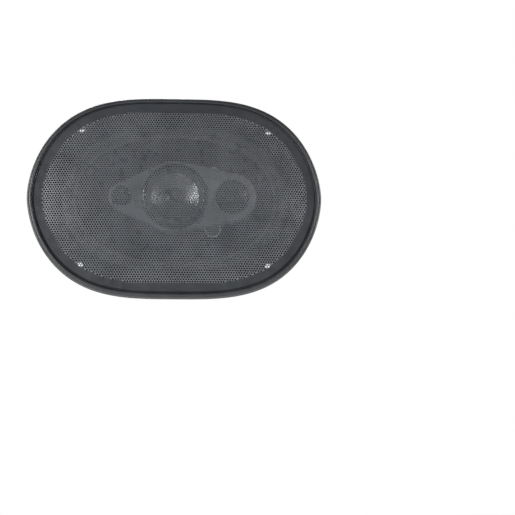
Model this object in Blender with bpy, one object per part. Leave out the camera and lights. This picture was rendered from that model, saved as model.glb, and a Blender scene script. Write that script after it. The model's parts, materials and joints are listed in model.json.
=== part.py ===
"""A 6x9 inch multi-way coaxial car speaker with its grille on.

The speaker's axis is Y. Its front faces -Y and its magnet points to +Y.
The long side of the oval lies along X.
The origin is the centre of the seat plane, the rear face of the mounting flange.
Lengths are in metres.
"""

from math import atan2, cos, hypot, pi, radians, sin

import bmesh
import bpy
from mathutils import Vector

MM = 0.001
GAP = 0.3 * MM  # clearance between pieces that touch

# Magnet. The shoulder of the basket and the terminals go round it.
MAGNET_RADIUS = 53 * MM
MAGNET_THICKNESS = 23 * MM

# Basket: an oval wall in two steps, then a cone down to a round shoulder round the motor.
SHEET = 1.2 * MM
WALL_HALF_LENGTH = 113 * MM
WALL_HALF_HEIGHT = 78.5 * MM
WALL_STEP = 3 * MM  # how far each step goes inwards
LEDGE_Y = 4.6 * MM
CONE_FOOT_Y = 13.2 * MM
SHOULDER_Y = 40.5 * MM
SHOULDER_RADIUS = MAGNET_RADIUS - 0.5 * MM
CONE_TOP_RADIUS = SHOULDER_RADIUS + 2.5 * MM  # where the basket's cone meets the shoulder
SPIDER_LEDGE_RADIUS = SHOULDER_RADIUS - 6.5 * MM
MOTOR_SEAT_Y = SHOULDER_Y + 5.9 * MM

# Mounting flange of the basket: a rounded octagon with an ear at each screw.
FLANGE_HALF_LENGTH = WALL_HALF_LENGTH + 5 * MM
FLANGE_HALF_HEIGHT = WALL_HALF_HEIGHT + 3.5 * MM
EAR_TOP = (WALL_HALF_LENGTH - 27 * MM, WALL_HALF_HEIGHT - 5.5 * MM)
EAR_SIDE = (WALL_HALF_LENGTH - 19.5 * MM, WALL_HALF_HEIGHT - 15.5 * MM)
EAR_FOOT = (WALL_HALF_LENGTH - 2.5 * MM, 30 * MM)
SCREW_X = WALL_HALF_LENGTH - 26 * MM
SCREW_Z = WALL_HALF_HEIGHT - 15 * MM
SCREW_SLOT_LENGTH = 8 * MM
SCREW_SLOT_WIDTH = 5 * MM

# Voice coil, cone and suspension.
FORMER_RADIUS = 15.8 * MM
FORMER_WALL = 0.4 * MM
FORMER_FRONT_Y = 29 * MM
COIL_WALL = 0.8 * MM
COIL_OVERHANG = 3 * MM  # how far the coil stands out of the top plate on each side
CONE_HALF_LENGTH = WALL_HALF_LENGTH - 17 * MM
CONE_HALF_HEIGHT = WALL_HALF_HEIGHT - 16.5 * MM
CONE_RIM_Y = LEDGE_Y - SHEET / 2
CONE_NECK_Y = 31 * MM
PAPER = 0.8 * MM
ROLL_WIDTH = 11 * MM
ROLL_HEIGHT = 5.5 * MM
SURROUND_THICKNESS = 0.7 * MM
SPIDER_Y = SHOULDER_Y - 1.6 * MM
SPIDER_THICKNESS = 0.6 * MM
SPIDER_WAVES = 2
SPIDER_WAVE_HEIGHT = 1.2 * MM
ANCHOR_X = FORMER_RADIUS + 20.2 * MM
ANCHOR_Z = FORMER_RADIUS + 10.2 * MM
ANCHOR_RADIUS = 8 * MM

# Motor, sized round the voice coil.
GAP_RADIUS = FORMER_RADIUS + GAP + COIL_WALL + 0.5 * MM  # hole in the top plate
POLE_RADIUS = FORMER_RADIUS - FORMER_WALL - 0.8 * MM
VENT_RADIUS = 5 * MM
MOTOR_SEAT_HOLE = GAP_RADIUS + 2.6 * MM
PLATE_RADIUS = MAGNET_RADIUS - 7 * MM
PLATE_THICKNESS = 6 * MM
MAGNET_HOLE = GAP_RADIUS + 6.6 * MM
BACK_PLATE_THICKNESS = 7 * MM
BOOT_WALL = 2.2 * MM
BOOT_RIB = 0.5 * MM
BOOT_FRONT_Y = SHOULDER_Y + 2.7 * MM
LABEL_RADIUS = MAGNET_RADIUS - 3 * MM
LABEL_THICKNESS = 0.4 * MM

# Front ring on the flange.
RING_FRONT_Y = -7 * MM
RING_HALF_LENGTH = WALL_HALF_LENGTH - 5.5 * MM
RING_HALF_HEIGHT = WALL_HALF_HEIGHT - 5.5 * MM

# Pod: an outline round three drivers.
MID_POCKET = 31 * MM
TWEETER_POCKET = 16 * MM
SUPER_POCKET = 9.5 * MM
POD_FRONT_Y = -15.5 * MM
POD_BACK_Y = -2.5 * MM
POD_MID_RADIUS = MID_POCKET + 3 * MM
POD_TWEETER_X = MID_POCKET + TWEETER_POCKET + 6.5 * MM
POD_TWEETER_RADIUS = TWEETER_POCKET + 6.5 * MM
POD_SUPER_X = -(MID_POCKET + SUPER_POCKET + 9 * MM)
POD_SUPER_RADIUS = SUPER_POCKET + 3 * MM
POD_CHAMFER = 0.96  # the size of its two faces, to the size of its side
POD_FLOOR = 2 * MM
TWEETER_DOME = 7 * MM
SUPER_DOME = 4.5 * MM
POST_RADIUS = 7 * MM
POST_BASE_RADIUS = POLE_RADIUS - 2.1 * MM
POST_TAIL = 22 * MM  # the part of the post in the vent
NUT_RADIUS = 7 * MM
NUT_THICKNESS = 1.6 * MM
SHANK_RADIUS = 3.7 * MM
CAPACITOR_RADIUS = 5 * MM
CAPACITOR_LENGTH = 20 * MM
CAPACITOR_X = 26 * MM

# Terminals, on a tab of the basket at the +X end.
BOARD_X = MAGNET_RADIUS + GAP + BOOT_WALL + BOOT_RIB + 1.5 * MM
BOARD_LENGTH = 13 * MM
BOARD_HALF_WIDTH = 13 * MM
BOARD_THICKNESS = 1.6 * MM
TAB_END = BOARD_X + 8 * MM
TAB_HALF_WIDTH = 7 * MM
RIVET_X = BOARD_X + 3.06 * MM
RIVET_RADIUS = 1.6 * MM
SPADE_THICKNESS = 0.8 * MM
SPADE_LENGTH = 21 * MM
SPADE_START = 4.2 * MM  # from the middle of the board to each spade
SPADE_NOSE = 1.5 * MM
WIDE_SPADE = 6.3 * MM
NARROW_SPADE = 4.8 * MM
LEAD_RADIUS = 0.8 * MM

# Grille.
GRILLE_HALF_LENGTH = FLANGE_HALF_LENGTH + 19.5 * MM
GRILLE_HALF_HEIGHT = FLANGE_HALF_HEIGHT + 13 * MM
GRILLE_RIM_WIDTH = 6 * MM
GRILLE_RIM_FRONT_Y = -12.5 * MM
GRILLE_SEAT_Y = RING_FRONT_Y - GAP
GRILLE_WEB = 1.6 * MM
GRILLE_WEB_WIDTH = 27 * MM
GRILLE_SCREW_RADIUS = 2.6 * MM
MESH_THICKNESS = 0.9 * MM
MESH_RISE = 12 * MM
MESH_FLAT_SHARE = 0.94  # the mesh is flat outside this share of its outline

OVAL = (2.35, 2.1)  # exponents along X and Z of the basket's and cone's ovals
ROUND = (2.0, 2.0)
GRILLE_OVAL = (3.3, 1.75)


# ---------------------------------------------------------------- materials


def material(name, colour, roughness, metallic=0.0):
    made = bpy.data.materials.new(name)
    made.use_nodes = True
    shader = made.node_tree.nodes["Principled BSDF"]
    shader.inputs["Base Color"].default_value = (*colour, 1)
    shader.inputs["Roughness"].default_value = roughness
    shader.inputs["Metallic"].default_value = metallic
    return made


# ---------------------------------------------------------------- mesh helpers


def add_object(name, mesh, finish):
    obj = bpy.data.objects.new(name, mesh)
    mesh.materials.append(finish)
    bpy.context.scene.collection.objects.link(obj)
    return obj


def finish_mesh(name, bm, finish, smooth=True):
    """A closed bmesh as an object, with its faces pointing out."""
    bmesh.ops.recalc_face_normals(bm, faces=bm.faces)
    mesh = bpy.data.meshes.new(name)
    bm.to_mesh(mesh)
    bm.free()
    if smooth:
        mesh.shade_smooth()
        mesh.set_sharp_from_angle(angle=pi / 6)
    return add_object(name, mesh, finish)


def bridge(bm, first, second):
    """Quads between two rings of the same length. A ring of one vertex is a point."""
    count = max(len(first), len(second))
    for i in range(count):
        j = (i + 1) % count
        near = [first[i % len(first)], first[j % len(first)]]
        far = [second[j % len(second)], second[i % len(second)]]
        bm.faces.new(list(dict.fromkeys(near + far)))


def lofted(name, rings, finish, closed=False):
    """Rings of points joined in order. The ends are capped, or joined to each other when closed."""
    bm = bmesh.new()
    made = [[bm.verts.new(point) for point in ring] for ring in rings]
    for first, second in zip(made, made[1:]):
        bridge(bm, first, second)
    if closed:
        bridge(bm, made[-1], made[0])
    else:
        for ring in (made[0], made[-1]):
            if len(ring) > 2:
                bm.faces.new(ring)
    return finish_mesh(name, bm, finish)


def circle_points(radius, y, segments, centre=(0, 0)):
    if radius == 0:
        return [(centre[0], y, centre[1])]
    angles = [2 * pi * i / segments for i in range(segments)]
    return [(centre[0] + radius * cos(a), y, centre[1] + radius * sin(a)) for a in angles]


def turned(name, profile, finish, segments=32, centre=(0, 0), closed=False):
    """A profile of (radius, y) turned round the Y axis through centre."""
    rings = [circle_points(radius, y, segments, centre) for radius, y in profile]
    return lofted(name, rings, finish, closed)


def oval_point(angle, half_length, half_height, exponents):
    """The point of the oval |x/a|^p + |z/b|^q = 1 for this parameter."""
    c, s = cos(angle), sin(angle)
    x = half_length * abs(c) ** (2 / exponents[0])
    z = half_height * abs(s) ** (2 / exponents[1])
    return (x if c >= 0 else -x), (z if s >= 0 else -z)


def oval_ring(half_length, half_height, y, segments, exponents=OVAL):
    ring = []
    for i in range(segments):
        x, z = oval_point(2 * pi * i / segments, half_length, half_height, exponents)
        ring.append((x, y, z))
    return ring


def arc_through(start, peak, end, steps):
    """Points of the circular arc from start through peak to end, without its end point."""
    (ax, ay), (bx, by), (cx, cy) = start, peak, end
    d = 2 * (ax * (by - cy) + bx * (cy - ay) + cx * (ay - by))
    a2, b2, c2 = ax * ax + ay * ay, bx * bx + by * by, cx * cx + cy * cy
    ux = (a2 * (by - cy) + b2 * (cy - ay) + c2 * (ay - by)) / d
    uy = (a2 * (cx - bx) + b2 * (ax - cx) + c2 * (bx - ax)) / d
    first, last = atan2(ay - uy, ax - ux), atan2(cy - uy, cx - ux)
    radius = hypot(ax - ux, ay - uy)
    angles = [first + (last - first) * i / steps for i in range(steps)]
    return [(ux + radius * cos(a), uy + radius * sin(a)) for a in angles]


def flange_outline(steps=4):
    """The flange's outline as (x, z), counterclockwise from the +X end."""
    foot_mirror = (EAR_FOOT[0], -EAR_FOOT[1])
    end_arc = arc_through(foot_mirror, (FLANGE_HALF_LENGTH, 0), EAR_FOOT, steps)
    top_arc = arc_through(EAR_TOP, (0, FLANGE_HALF_HEIGHT), (-EAR_TOP[0], EAR_TOP[1]), 2 * steps)
    far_ear = [(-EAR_TOP[0], EAR_TOP[1]), (-EAR_SIDE[0], EAR_SIDE[1])]
    half = end_arc + [EAR_FOOT, EAR_SIDE] + top_arc + far_ear
    return half + [(-x, -z) for x, z in half]


def ray_to(outline, angle):
    """Where the ray from the centre at this angle meets the outline."""
    dx, dz = cos(angle), sin(angle)
    for (ax, az), (bx, bz) in zip(outline, outline[1:] + outline[:1]):
        ex, ez = bx - ax, bz - az
        det = ex * dz - ez * dx
        if abs(det) < 1e-12:
            continue
        reach = (ex * az - ez * ax) / det
        share = (dx * az - dz * ax) / det
        if reach > 0 and -1e-9 <= share <= 1 + 1e-9:
            return reach * dx, reach * dz
    raise ValueError("the outline isn't closed round the centre")


def oval_on_ray(angle, half_length, half_height, exponents=OVAL):
    """Where the ray from the centre at this angle meets the oval."""
    c, s = abs(cos(angle)), abs(sin(angle))
    low, high = 0.0, half_length + half_height
    for _ in range(50):
        reach = (low + high) / 2
        inside = (reach * c / half_length) ** exponents[0] + (reach * s / half_height) ** exponents[1] < 1
        low, high = (reach, high) if inside else (low, reach)
    return low * cos(angle), low * sin(angle)


def prism(name, outline, y0, y1, finish):
    """An outline of (x, z) points, extruded along Y."""
    return lofted(name, [[(x, y, z) for x, z in outline] for y in (y0, y1)], finish)


def rounded_polygon(corners, radius, steps=3):
    """A convex outline with each corner rounded."""
    points = []
    count = len(corners)
    for i, corner in enumerate(corners):
        here, back, ahead = Vector(corner), Vector(corners[i - 1]), Vector(corners[(i + 1) % count])
        to_back, to_ahead = (back - here).normalized(), (ahead - here).normalized()
        half = to_back.angle(to_ahead) / 2
        reach = radius / abs(sin(half) / cos(half))
        start, end = here + to_back * reach, here + to_ahead * reach
        for step in range(steps + 1):
            t = step / steps
            point = start.lerp(here, t).lerp(here.lerp(end, t), t)
            points.append((point.x, point.y))
    return points


def hull_of_circles(circles, segments=32):
    """The convex outline round circles of (x, z, radius)."""
    cloud = set()
    for cx, cz, radius in circles:
        for i in range(segments):
            a = 2 * pi * i / segments
            cloud.add((round(cx + radius * cos(a), 7), round(cz + radius * sin(a), 7)))
    cloud = sorted(cloud)

    def chain(points):
        kept = []
        for p in points:
            while len(kept) > 1:
                (ax, az), (bx, bz) = kept[-2], kept[-1]
                if (bx - ax) * (p[1] - az) - (bz - az) * (p[0] - ax) > 0:
                    break
                kept.pop()
            kept.append(p)
        return kept[:-1]

    return chain(cloud) + chain(cloud[::-1])


def cut(obj, cutter, operation="DIFFERENCE"):
    """Adds a Boolean and hides its cutter."""
    cutter.hide_render = True
    cutter.display_type = "WIRE"
    modifier = obj.modifiers.new(cutter.name, "BOOLEAN")
    modifier.operation = operation
    modifier.object = cutter
    return obj


def mirrored(outline, x_sign, z_sign):
    return [(x_sign * x, z_sign * z) for x, z in outline]


def box_outline(x0, x1, z0, z1):
    return [(x0, z0), (x1, z0), (x1, z1), (x0, z1)]


# ---------------------------------------------------------------- basket and ring


def basket_angles(outline, count=40):
    """Directions for the basket's sections, with one through each corner of the flange."""
    corners = [atan2(z, x) % (2 * pi) for x, z in outline]
    even = [2 * pi * (i + 0.5) / count for i in range(count)]
    closest = pi / count
    kept = [a for a in even if all(abs((a - c + pi) % (2 * pi) - pi) > closest for c in corners)]
    return sorted(kept + corners)


def basket_wall_sections():
    """Sections of the basket's middle surface, from the wall to the motor seat.

    Each is (half length, half height, y, exponents).
    """
    half = SHEET / 2
    wide, tall = WALL_HALF_LENGTH, WALL_HALF_HEIGHT
    sections = [
        (wide, tall, -half, OVAL),
        (wide, tall, LEDGE_Y - half, OVAL),
        (wide - WALL_STEP, tall - WALL_STEP, LEDGE_Y, OVAL),
        (wide - WALL_STEP, tall - WALL_STEP, CONE_FOOT_Y - half, OVAL),
        (wide - 2 * WALL_STEP, tall - 2 * WALL_STEP, CONE_FOOT_Y, OVAL),
    ]
    steps = 4
    foot, end = sections[-1], (CONE_TOP_RADIUS, CONE_TOP_RADIUS, SHOULDER_Y - 2 * MM, ROUND)
    for i in range(1, steps + 1):
        t = i / steps
        exponents = tuple(p + (q - p) * t for p, q in zip(foot[3], end[3]))
        sections.append(tuple(p + (q - p) * t for p, q in zip(foot[:3], end[:3])) + (exponents,))
    for radius, y in (
        (SHOULDER_RADIUS, SHOULDER_Y),
        (SPIDER_LEDGE_RADIUS, SHOULDER_Y),
        (SPIDER_LEDGE_RADIUS - 1.5 * MM, MOTOR_SEAT_Y),
        (MOTOR_SEAT_HOLE, MOTOR_SEAT_Y),
    ):
        sections.append((radius, radius, y, ROUND))
    return sections


def on_cone(angle, share):
    """A point of the basket's cone seen along the axis, from the shoulder at share 0 to the foot at 1."""
    a = radians(angle)
    foot = hypot(*oval_on_ray(a, WALL_HALF_LENGTH - 2 * WALL_STEP, WALL_HALF_HEIGHT - 2 * WALL_STEP))
    reach = CONE_TOP_RADIUS + (foot - CONE_TOP_RADIUS) * share
    return reach * cos(a), reach * sin(a)


def window_outlines():
    """The openings in the basket's cone, one quarter each, as convex (x, z) outlines seen along the axis."""
    slot_near = [(71.2, -0.030), (61.4, 0.058), (65.6, 0.782), (73.6, 0.803)]
    slot_far = [(49.3, 0.034), (38.4, 0.101), (42.7, 0.741), (51.3, 0.774)]
    corner_window = [(25.9, 0.512), (10.2, 0.636), (12.0, 0.864), (27.7, 0.863)]
    return [
        rounded_polygon([on_cone(angle, share) for angle, share in outline], 2 * MM, 1)
        for outline in (slot_near, slot_far, corner_window)
    ]


def end_window_outline():
    """The D-shaped opening at each end, next to the motor."""
    centre_x = SHOULDER_RADIUS + 5.5 * MM
    depth = on_cone(0, 0.577)[0] - centre_x
    half_height = ANCHOR_Z - MM  # the lead wires pass through it
    angles = [-pi / 2 + pi * i / 8 for i in range(9)]
    arc = [(centre_x + depth * cos(a), half_height * sin(a)) for a in angles]
    inner, corner_z = centre_x - 4.5 * MM, half_height * 0.7
    return arc + [(inner, corner_z), (centre_x - 1.5 * MM, 0), (inner, -corner_z)]


def rim_window_outline():
    corners = [(-5.6, 0.724), (-6.2, 0.912), (6.2, 0.912), (5.6, 0.724)]
    return rounded_polygon([on_cone(angle, share) for angle, share in corners], 1.2 * MM, 1)


def slot_outline(x, z):
    end = SCREW_SLOT_WIDTH / 2
    reach = SCREW_SLOT_LENGTH / 2 - end
    right = [(x + reach + end * cos(a), z + end * sin(a)) for a in [-pi / 2 + pi * i / 4 for i in range(5)]]
    left = [(x - reach + end * cos(a), z + end * sin(a)) for a in [pi / 2 + pi * i / 4 for i in range(5)]]
    return right + left


def make_basket(steel):
    """A sheet of one thickness: middle surface, then Solidify, then the windows."""
    outline = flange_outline()
    angles = basket_angles(outline)
    rings = [[(x, -SHEET / 2, z) for x, z in (ray_to(outline, a) for a in angles)]]
    for half_length, half_height, y, exponents in basket_wall_sections():
        points = [oval_on_ray(a, half_length, half_height, exponents) for a in angles]
        rings.append([(x, y, z) for x, z in points])
    bm = bmesh.new()
    made = [[bm.verts.new(point) for point in ring] for ring in rings]
    for first, second in zip(made, made[1:]):
        bridge(bm, first, second)
    basket = finish_mesh("basket", bm, steel)
    wall = basket.modifiers.new("sheet", "SOLIDIFY")
    wall.thickness = SHEET
    wall.offset = 0
    wall.use_even_offset = True

    cutters = []
    for x_sign in (1, -1):
        for outline in [end_window_outline(), rim_window_outline()]:
            cutters.append((mirrored(outline, x_sign, 1), CONE_FOOT_Y - 6 * MM, MOTOR_SEAT_Y))
        for z_sign in (1, -1):
            for outline in window_outlines():
                cutters.append((mirrored(outline, x_sign, z_sign), CONE_FOOT_Y - 2 * MM, MOTOR_SEAT_Y))
            cutters.append((slot_outline(x_sign * SCREW_X, z_sign * SCREW_Z), -5 * MM, 3 * MM))
    for i, (outline, y0, y1) in enumerate(cutters):
        cut(basket, prism(f"basket_cutter_{i}", outline, y0, y1, steel))
    for x_sign in (1, -1):
        inner = SHOULDER_RADIUS - 3 * MM
        tab = box_outline(inner, TAB_END, -TAB_HALF_WIDTH, TAB_HALF_WIDTH)
        name = f"basket_tab_{'right' if x_sign > 0 else 'left'}"
        half = SHEET * 0.45
        plate = prism(name, mirrored(tab, x_sign, 1), SHOULDER_Y - half, SHOULDER_Y + half, steel)
        cut(basket, plate, "UNION")
        hole = [(RIVET_RADIUS + GAP, SHOULDER_Y - 3 * MM), (RIVET_RADIUS + GAP, SHOULDER_Y + 3 * MM)]
        cut(basket, turned(f"{name}_hole", hole, steel, 8, (x_sign * RIVET_X, 0)))
    return basket


def make_front_ring(plastic):
    """The moulded ring on the flange's front, with the flange's outline and an oval mouth."""
    outline = flange_outline()
    angles = basket_angles(outline)
    inset = 0.4 * MM
    back, front = -SHEET - GAP, RING_FRONT_Y

    def rim(shrink, y):
        return [(x * (1 - shrink), y, z * (1 - shrink)) for x, z in (ray_to(outline, a) for a in angles)]

    def mouth(grow, y):
        points = [oval_on_ray(a, RING_HALF_LENGTH + grow, RING_HALF_HEIGHT + grow) for a in angles]
        return [(x, y, z) for x, z in points]

    share = inset / FLANGE_HALF_LENGTH
    skirt = WALL_HALF_LENGTH - SHEET / 2 - GAP - RING_HALF_LENGTH
    foot = surround_land_y() - GAP
    rings = [
        rim(share, back),
        rim(share, front + MM),
        rim(3 * share, front),
        mouth(1.5 * MM, front),
        mouth(0, front + 1.5 * MM),
        mouth(0, back),
        mouth(skirt - 1.6 * MM, foot),
        mouth(skirt, foot),
        mouth(skirt, back),
    ]
    ring = lofted("front_ring", rings, plastic, closed=True)
    for x_sign in (1, -1):
        for z_sign in (1, -1):
            outline = slot_outline(x_sign * SCREW_X, z_sign * SCREW_Z)
            name = f"front_ring_cutter_{x_sign}_{z_sign}"
            cut(ring, prism(name, outline, front - MM, back + MM, plastic))
    return ring


# ---------------------------------------------------------------- motor


def motor_planes():
    """Y of the top plate's two faces, the magnet's two faces, and the back plate's two faces."""
    top = MOTOR_SEAT_Y + SHEET / 2 + GAP
    top_back = top + PLATE_THICKNESS
    magnet = top_back + GAP
    magnet_back = magnet + MAGNET_THICKNESS
    plate = magnet_back + GAP
    return top, top_back, magnet, magnet_back, plate, plate + BACK_PLATE_THICKNESS


def make_motor(zinc, ferrite, rubber, print_black):
    top, top_back, magnet, magnet_back, plate, plate_back = motor_planes()
    washer = [(GAP_RADIUS, top), (PLATE_RADIUS, top), (PLATE_RADIUS, top_back), (GAP_RADIUS, top_back)]
    turned("top_plate", washer, zinc, 32, closed=True)
    block = [
        (MAGNET_HOLE, magnet),
        (MAGNET_RADIUS, magnet),
        (MAGNET_RADIUS, magnet_back),
        (MAGNET_HOLE, magnet_back),
    ]
    turned("magnet", block, ferrite, 32, closed=True)
    pole = [
        (VENT_RADIUS, top),
        (POLE_RADIUS, top),
        (POLE_RADIUS, plate),
        (PLATE_RADIUS, plate),
        (PLATE_RADIUS, plate_back),
        (VENT_RADIUS, plate_back),
    ]
    turned("yoke", pole, zinc, 32, closed=True)
    inner = MAGNET_RADIUS + GAP
    outer = inner + BOOT_WALL
    floor = plate_back + GAP
    back = floor + BOOT_WALL
    edge = 2.5 * MM
    lip = 1.5 * MM
    cup = [
        (0, floor),
        (inner, floor),
        (inner, BOOT_FRONT_Y),
        (outer - lip / 2, BOOT_FRONT_Y),
        (outer, BOOT_FRONT_Y + lip),
        (outer + BOOT_RIB, back - edge),
        (outer - edge + BOOT_RIB, back),
        (0, back),
    ]
    turned("magnet_boot", cup, rubber, 40)
    front = back + GAP
    rear = front + LABEL_THICKNESS
    disc = [(0, front), (LABEL_RADIUS, front), (LABEL_RADIUS, rear), (0, rear)]
    turned("rear_label", disc, print_black, 32)


# ---------------------------------------------------------------- cone, coil and suspension


def cone_surface(t):
    """(half length, half height, y, exponents) of the cone's front, from the neck at 0 to the rim at 1."""
    neck = FORMER_RADIUS + 2 * GAP
    blend = tuple(2 + (p - 2) * t for p in OVAL)
    flare = t ** 0.85
    y = CONE_NECK_Y + (CONE_RIM_Y - CONE_NECK_Y) * flare
    return neck + (CONE_HALF_LENGTH - neck) * t, neck + (CONE_HALF_HEIGHT - neck) * t, y, blend


def make_cone(paper):
    segments, steps = 40, 4
    front = []
    back = []
    for i in range(steps + 1):
        half_length, half_height, y, exponents = cone_surface(i / steps)
        front.append(oval_ring(half_length, half_height, y, segments, exponents))
        back.append(oval_ring(half_length, half_height, y + PAPER, segments, exponents))
    return lofted("woofer_cone", front + back[::-1], paper, closed=True)


def make_voice_coil(kapton, copper):
    inner = FORMER_RADIUS - FORMER_WALL
    top, top_back = motor_planes()[:2]
    coil_front, coil_back = top - COIL_OVERHANG, top_back + COIL_OVERHANG
    former_back = coil_back + MM
    tube = [
        (inner, FORMER_FRONT_Y),
        (FORMER_RADIUS, FORMER_FRONT_Y),
        (FORMER_RADIUS, former_back),
        (inner, former_back),
    ]
    turned("voice_coil_former", tube, kapton, 24, closed=True)
    wound = FORMER_RADIUS + GAP
    outer = wound + COIL_WALL
    coil = [(wound, coil_front), (outer, coil_front), (outer, coil_back), (wound, coil_back)]
    turned("voice_coil", coil, copper, 24, closed=True)


def surround_land_y():
    """Y of the front of the surround's flat edges, on the cone's rim and on the basket's ledge."""
    return CONE_RIM_Y - GAP - SURROUND_THICKNESS


def make_surround(foam):
    """A half roll between the cone's rim and the ledge of the basket, with a flat edge on each side."""
    segments, thickness = 40, SURROUND_THICKNESS
    land = surround_land_y()
    inner = -3 * MM
    roll_start = 1.2 * MM
    profile = [(inner, land), (roll_start, land)]
    for i in range(1, 4):
        a = pi * i / 4
        profile.append((roll_start + ROLL_WIDTH * (1 - cos(a)) / 2, land - ROLL_HEIGHT * sin(a)))
    outer = roll_start + ROLL_WIDTH
    profile += [(outer, land), (outer + 2 * MM, land)]
    under = [(d, y + thickness) for d, y in profile[::-1]]
    rings = [oval_ring(CONE_HALF_LENGTH + d, CONE_HALF_HEIGHT + d, y, segments) for d, y in profile + under]
    return lofted("surround", rings, foam, closed=True)


def make_spider(cloth):
    """A corrugated disc from the voice coil former to its ledge."""
    inner, outer = FORMER_RADIUS + 2 * GAP, SHOULDER_RADIUS - 2.5 * MM
    flat = SPIDER_LEDGE_RADIUS - MM
    profile = [(inner, SPIDER_Y)]
    steps = SPIDER_WAVES * 4
    start = inner + 3 * MM
    for i in range(steps + 1):
        t = i / steps
        wave = SPIDER_WAVE_HEIGHT * sin(2 * pi * SPIDER_WAVES * t)
        profile.append((start + (flat - start) * t, SPIDER_Y - wave))
    profile.append((outer, SPIDER_Y))
    back = [(r, y + SPIDER_THICKNESS) for r, y in profile[::-1]]
    return turned("spider", profile + back, cloth, 24, closed=True)


def cone_back_y(x, z):
    """Y of the cone's rear face at (x, z)."""
    low, high = 0.0, 1.0
    for _ in range(40):
        t = (low + high) / 2
        half_length, half_height, _, exponents = cone_surface(t)
        inside = abs(x / half_length) ** exponents[0] + abs(z / half_height) ** exponents[1] < 1
        low, high = (low, t) if inside else (t, high)
    return cone_surface(low)[2] + PAPER


def make_lead_anchors(glue):
    """Round patches that hold the lead wires to the cone, one above and one below the long axis."""
    for word, sign in (("upper", 1), ("lower", -1)):
        z = sign * ANCHOR_Z
        rings = []
        for radius, lift in ((ANCHOR_RADIUS, 0.2), (ANCHOR_RADIUS - MM, 0.9), (3 * MM, 1.1)):
            ring = []
            for x, _, pz in circle_points(radius, 0, 20, (ANCHOR_X, z)):
                ring.append((x, cone_back_y(x, pz) - PAPER - GAP - lift * MM, pz))
            rings.append(ring)
        base = [(x, cone_back_y(x, pz) - PAPER - GAP, pz) for x, _, pz in rings[0]]
        lofted(f"lead_anchor_{word}", [base] + rings, glue)


# ---------------------------------------------------------------- pod and its drivers


def make_pod(plastic):
    """The pod's shell, open at the front where its drivers sit, with a hole for the post."""
    outline = hull_of_circles([
        (POD_SUPER_X, 0, POD_SUPER_RADIUS),
        (0, 0, POD_MID_RADIUS),
        (POD_TWEETER_X, 0, POD_TWEETER_RADIUS),
    ])
    sections = [
        (POD_BACK_Y, POD_CHAMFER),
        (POD_BACK_Y - 2 * MM, 1),
        (POD_FRONT_Y + 2.5 * MM, 1),
        (POD_FRONT_Y, POD_CHAMFER),
    ]
    pod = lofted("tweeter_pod", [[(x * s, y, z * s) for x, z in outline] for y, s in sections], plastic)
    floor, mouth = POD_BACK_Y - POD_FLOOR, POD_FRONT_Y - MM
    for name, radius, x in (
        ("mid", MID_POCKET, 0),
        ("tweeter", TWEETER_POCKET, POD_TWEETER_X),
        ("super", SUPER_POCKET, POD_SUPER_X),
    ):
        pocket = [(0, floor), (radius, floor), (radius, mouth), (0, mouth)]
        cut(pod, turned(f"pod_pocket_{name}", pocket, plastic, 32, (x, 0)))
    start, end, radius = floor - MM, POD_BACK_Y + MM, SHANK_RADIUS + GAP
    cut(pod, turned("pod_post_hole", [(0, start), (radius, start), (radius, end), (0, end)], plastic, 20))


def make_post(zinc):
    """The post that carries the pod, from the vent of the pole to the nut on the pod's floor."""
    floor = POD_BACK_Y - POD_FLOOR
    base = motor_planes()[0] - GAP
    shoulder = POD_BACK_Y + GAP
    tip = floor - NUT_THICKNESS - 2 * GAP
    tail = base + POST_TAIL
    post = [
        (0, tip),
        (SHANK_RADIUS, tip),
        (SHANK_RADIUS, shoulder),
        (POST_RADIUS, shoulder),
        (POST_RADIUS, base - 8 * MM),
        (POST_BASE_RADIUS, base - 3 * MM),
        (POST_BASE_RADIUS, base),
        (VENT_RADIUS - GAP, base),
        (VENT_RADIUS - GAP, tail),
        (0, tail),
    ]
    turned("centre_post", post, zinc, 20)
    hole = (SHANK_RADIUS + GAP) / cos(pi / 6)  # the hole has six sides too
    back, front = floor - GAP, floor - GAP - NUT_THICKNESS
    nut = [(hole, back), (NUT_RADIUS, back), (NUT_RADIUS, front), (hole, front)]
    turned("post_nut", nut, zinc, 6, closed=True)


def make_capacitors(sleeve):
    """The crossover's two capacitors, lying along Z on the back of the pod."""
    radius, length = CAPACITOR_RADIUS, CAPACITOR_LENGTH
    can = [(0, 0), (radius - 0.6 * MM, 0), (radius, 0.8 * MM), (radius, length), (0, length)]
    for word, sign in (("high", 1), ("mid", -1)):
        capacitor = turned(f"pod_capacitor_{word}", can, sleeve, 16)
        capacitor.location = (sign * CAPACITOR_X, POD_BACK_Y + GAP + radius, -length / 2)
        capacitor.rotation_euler = (pi / 2, 0, 0)


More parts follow.
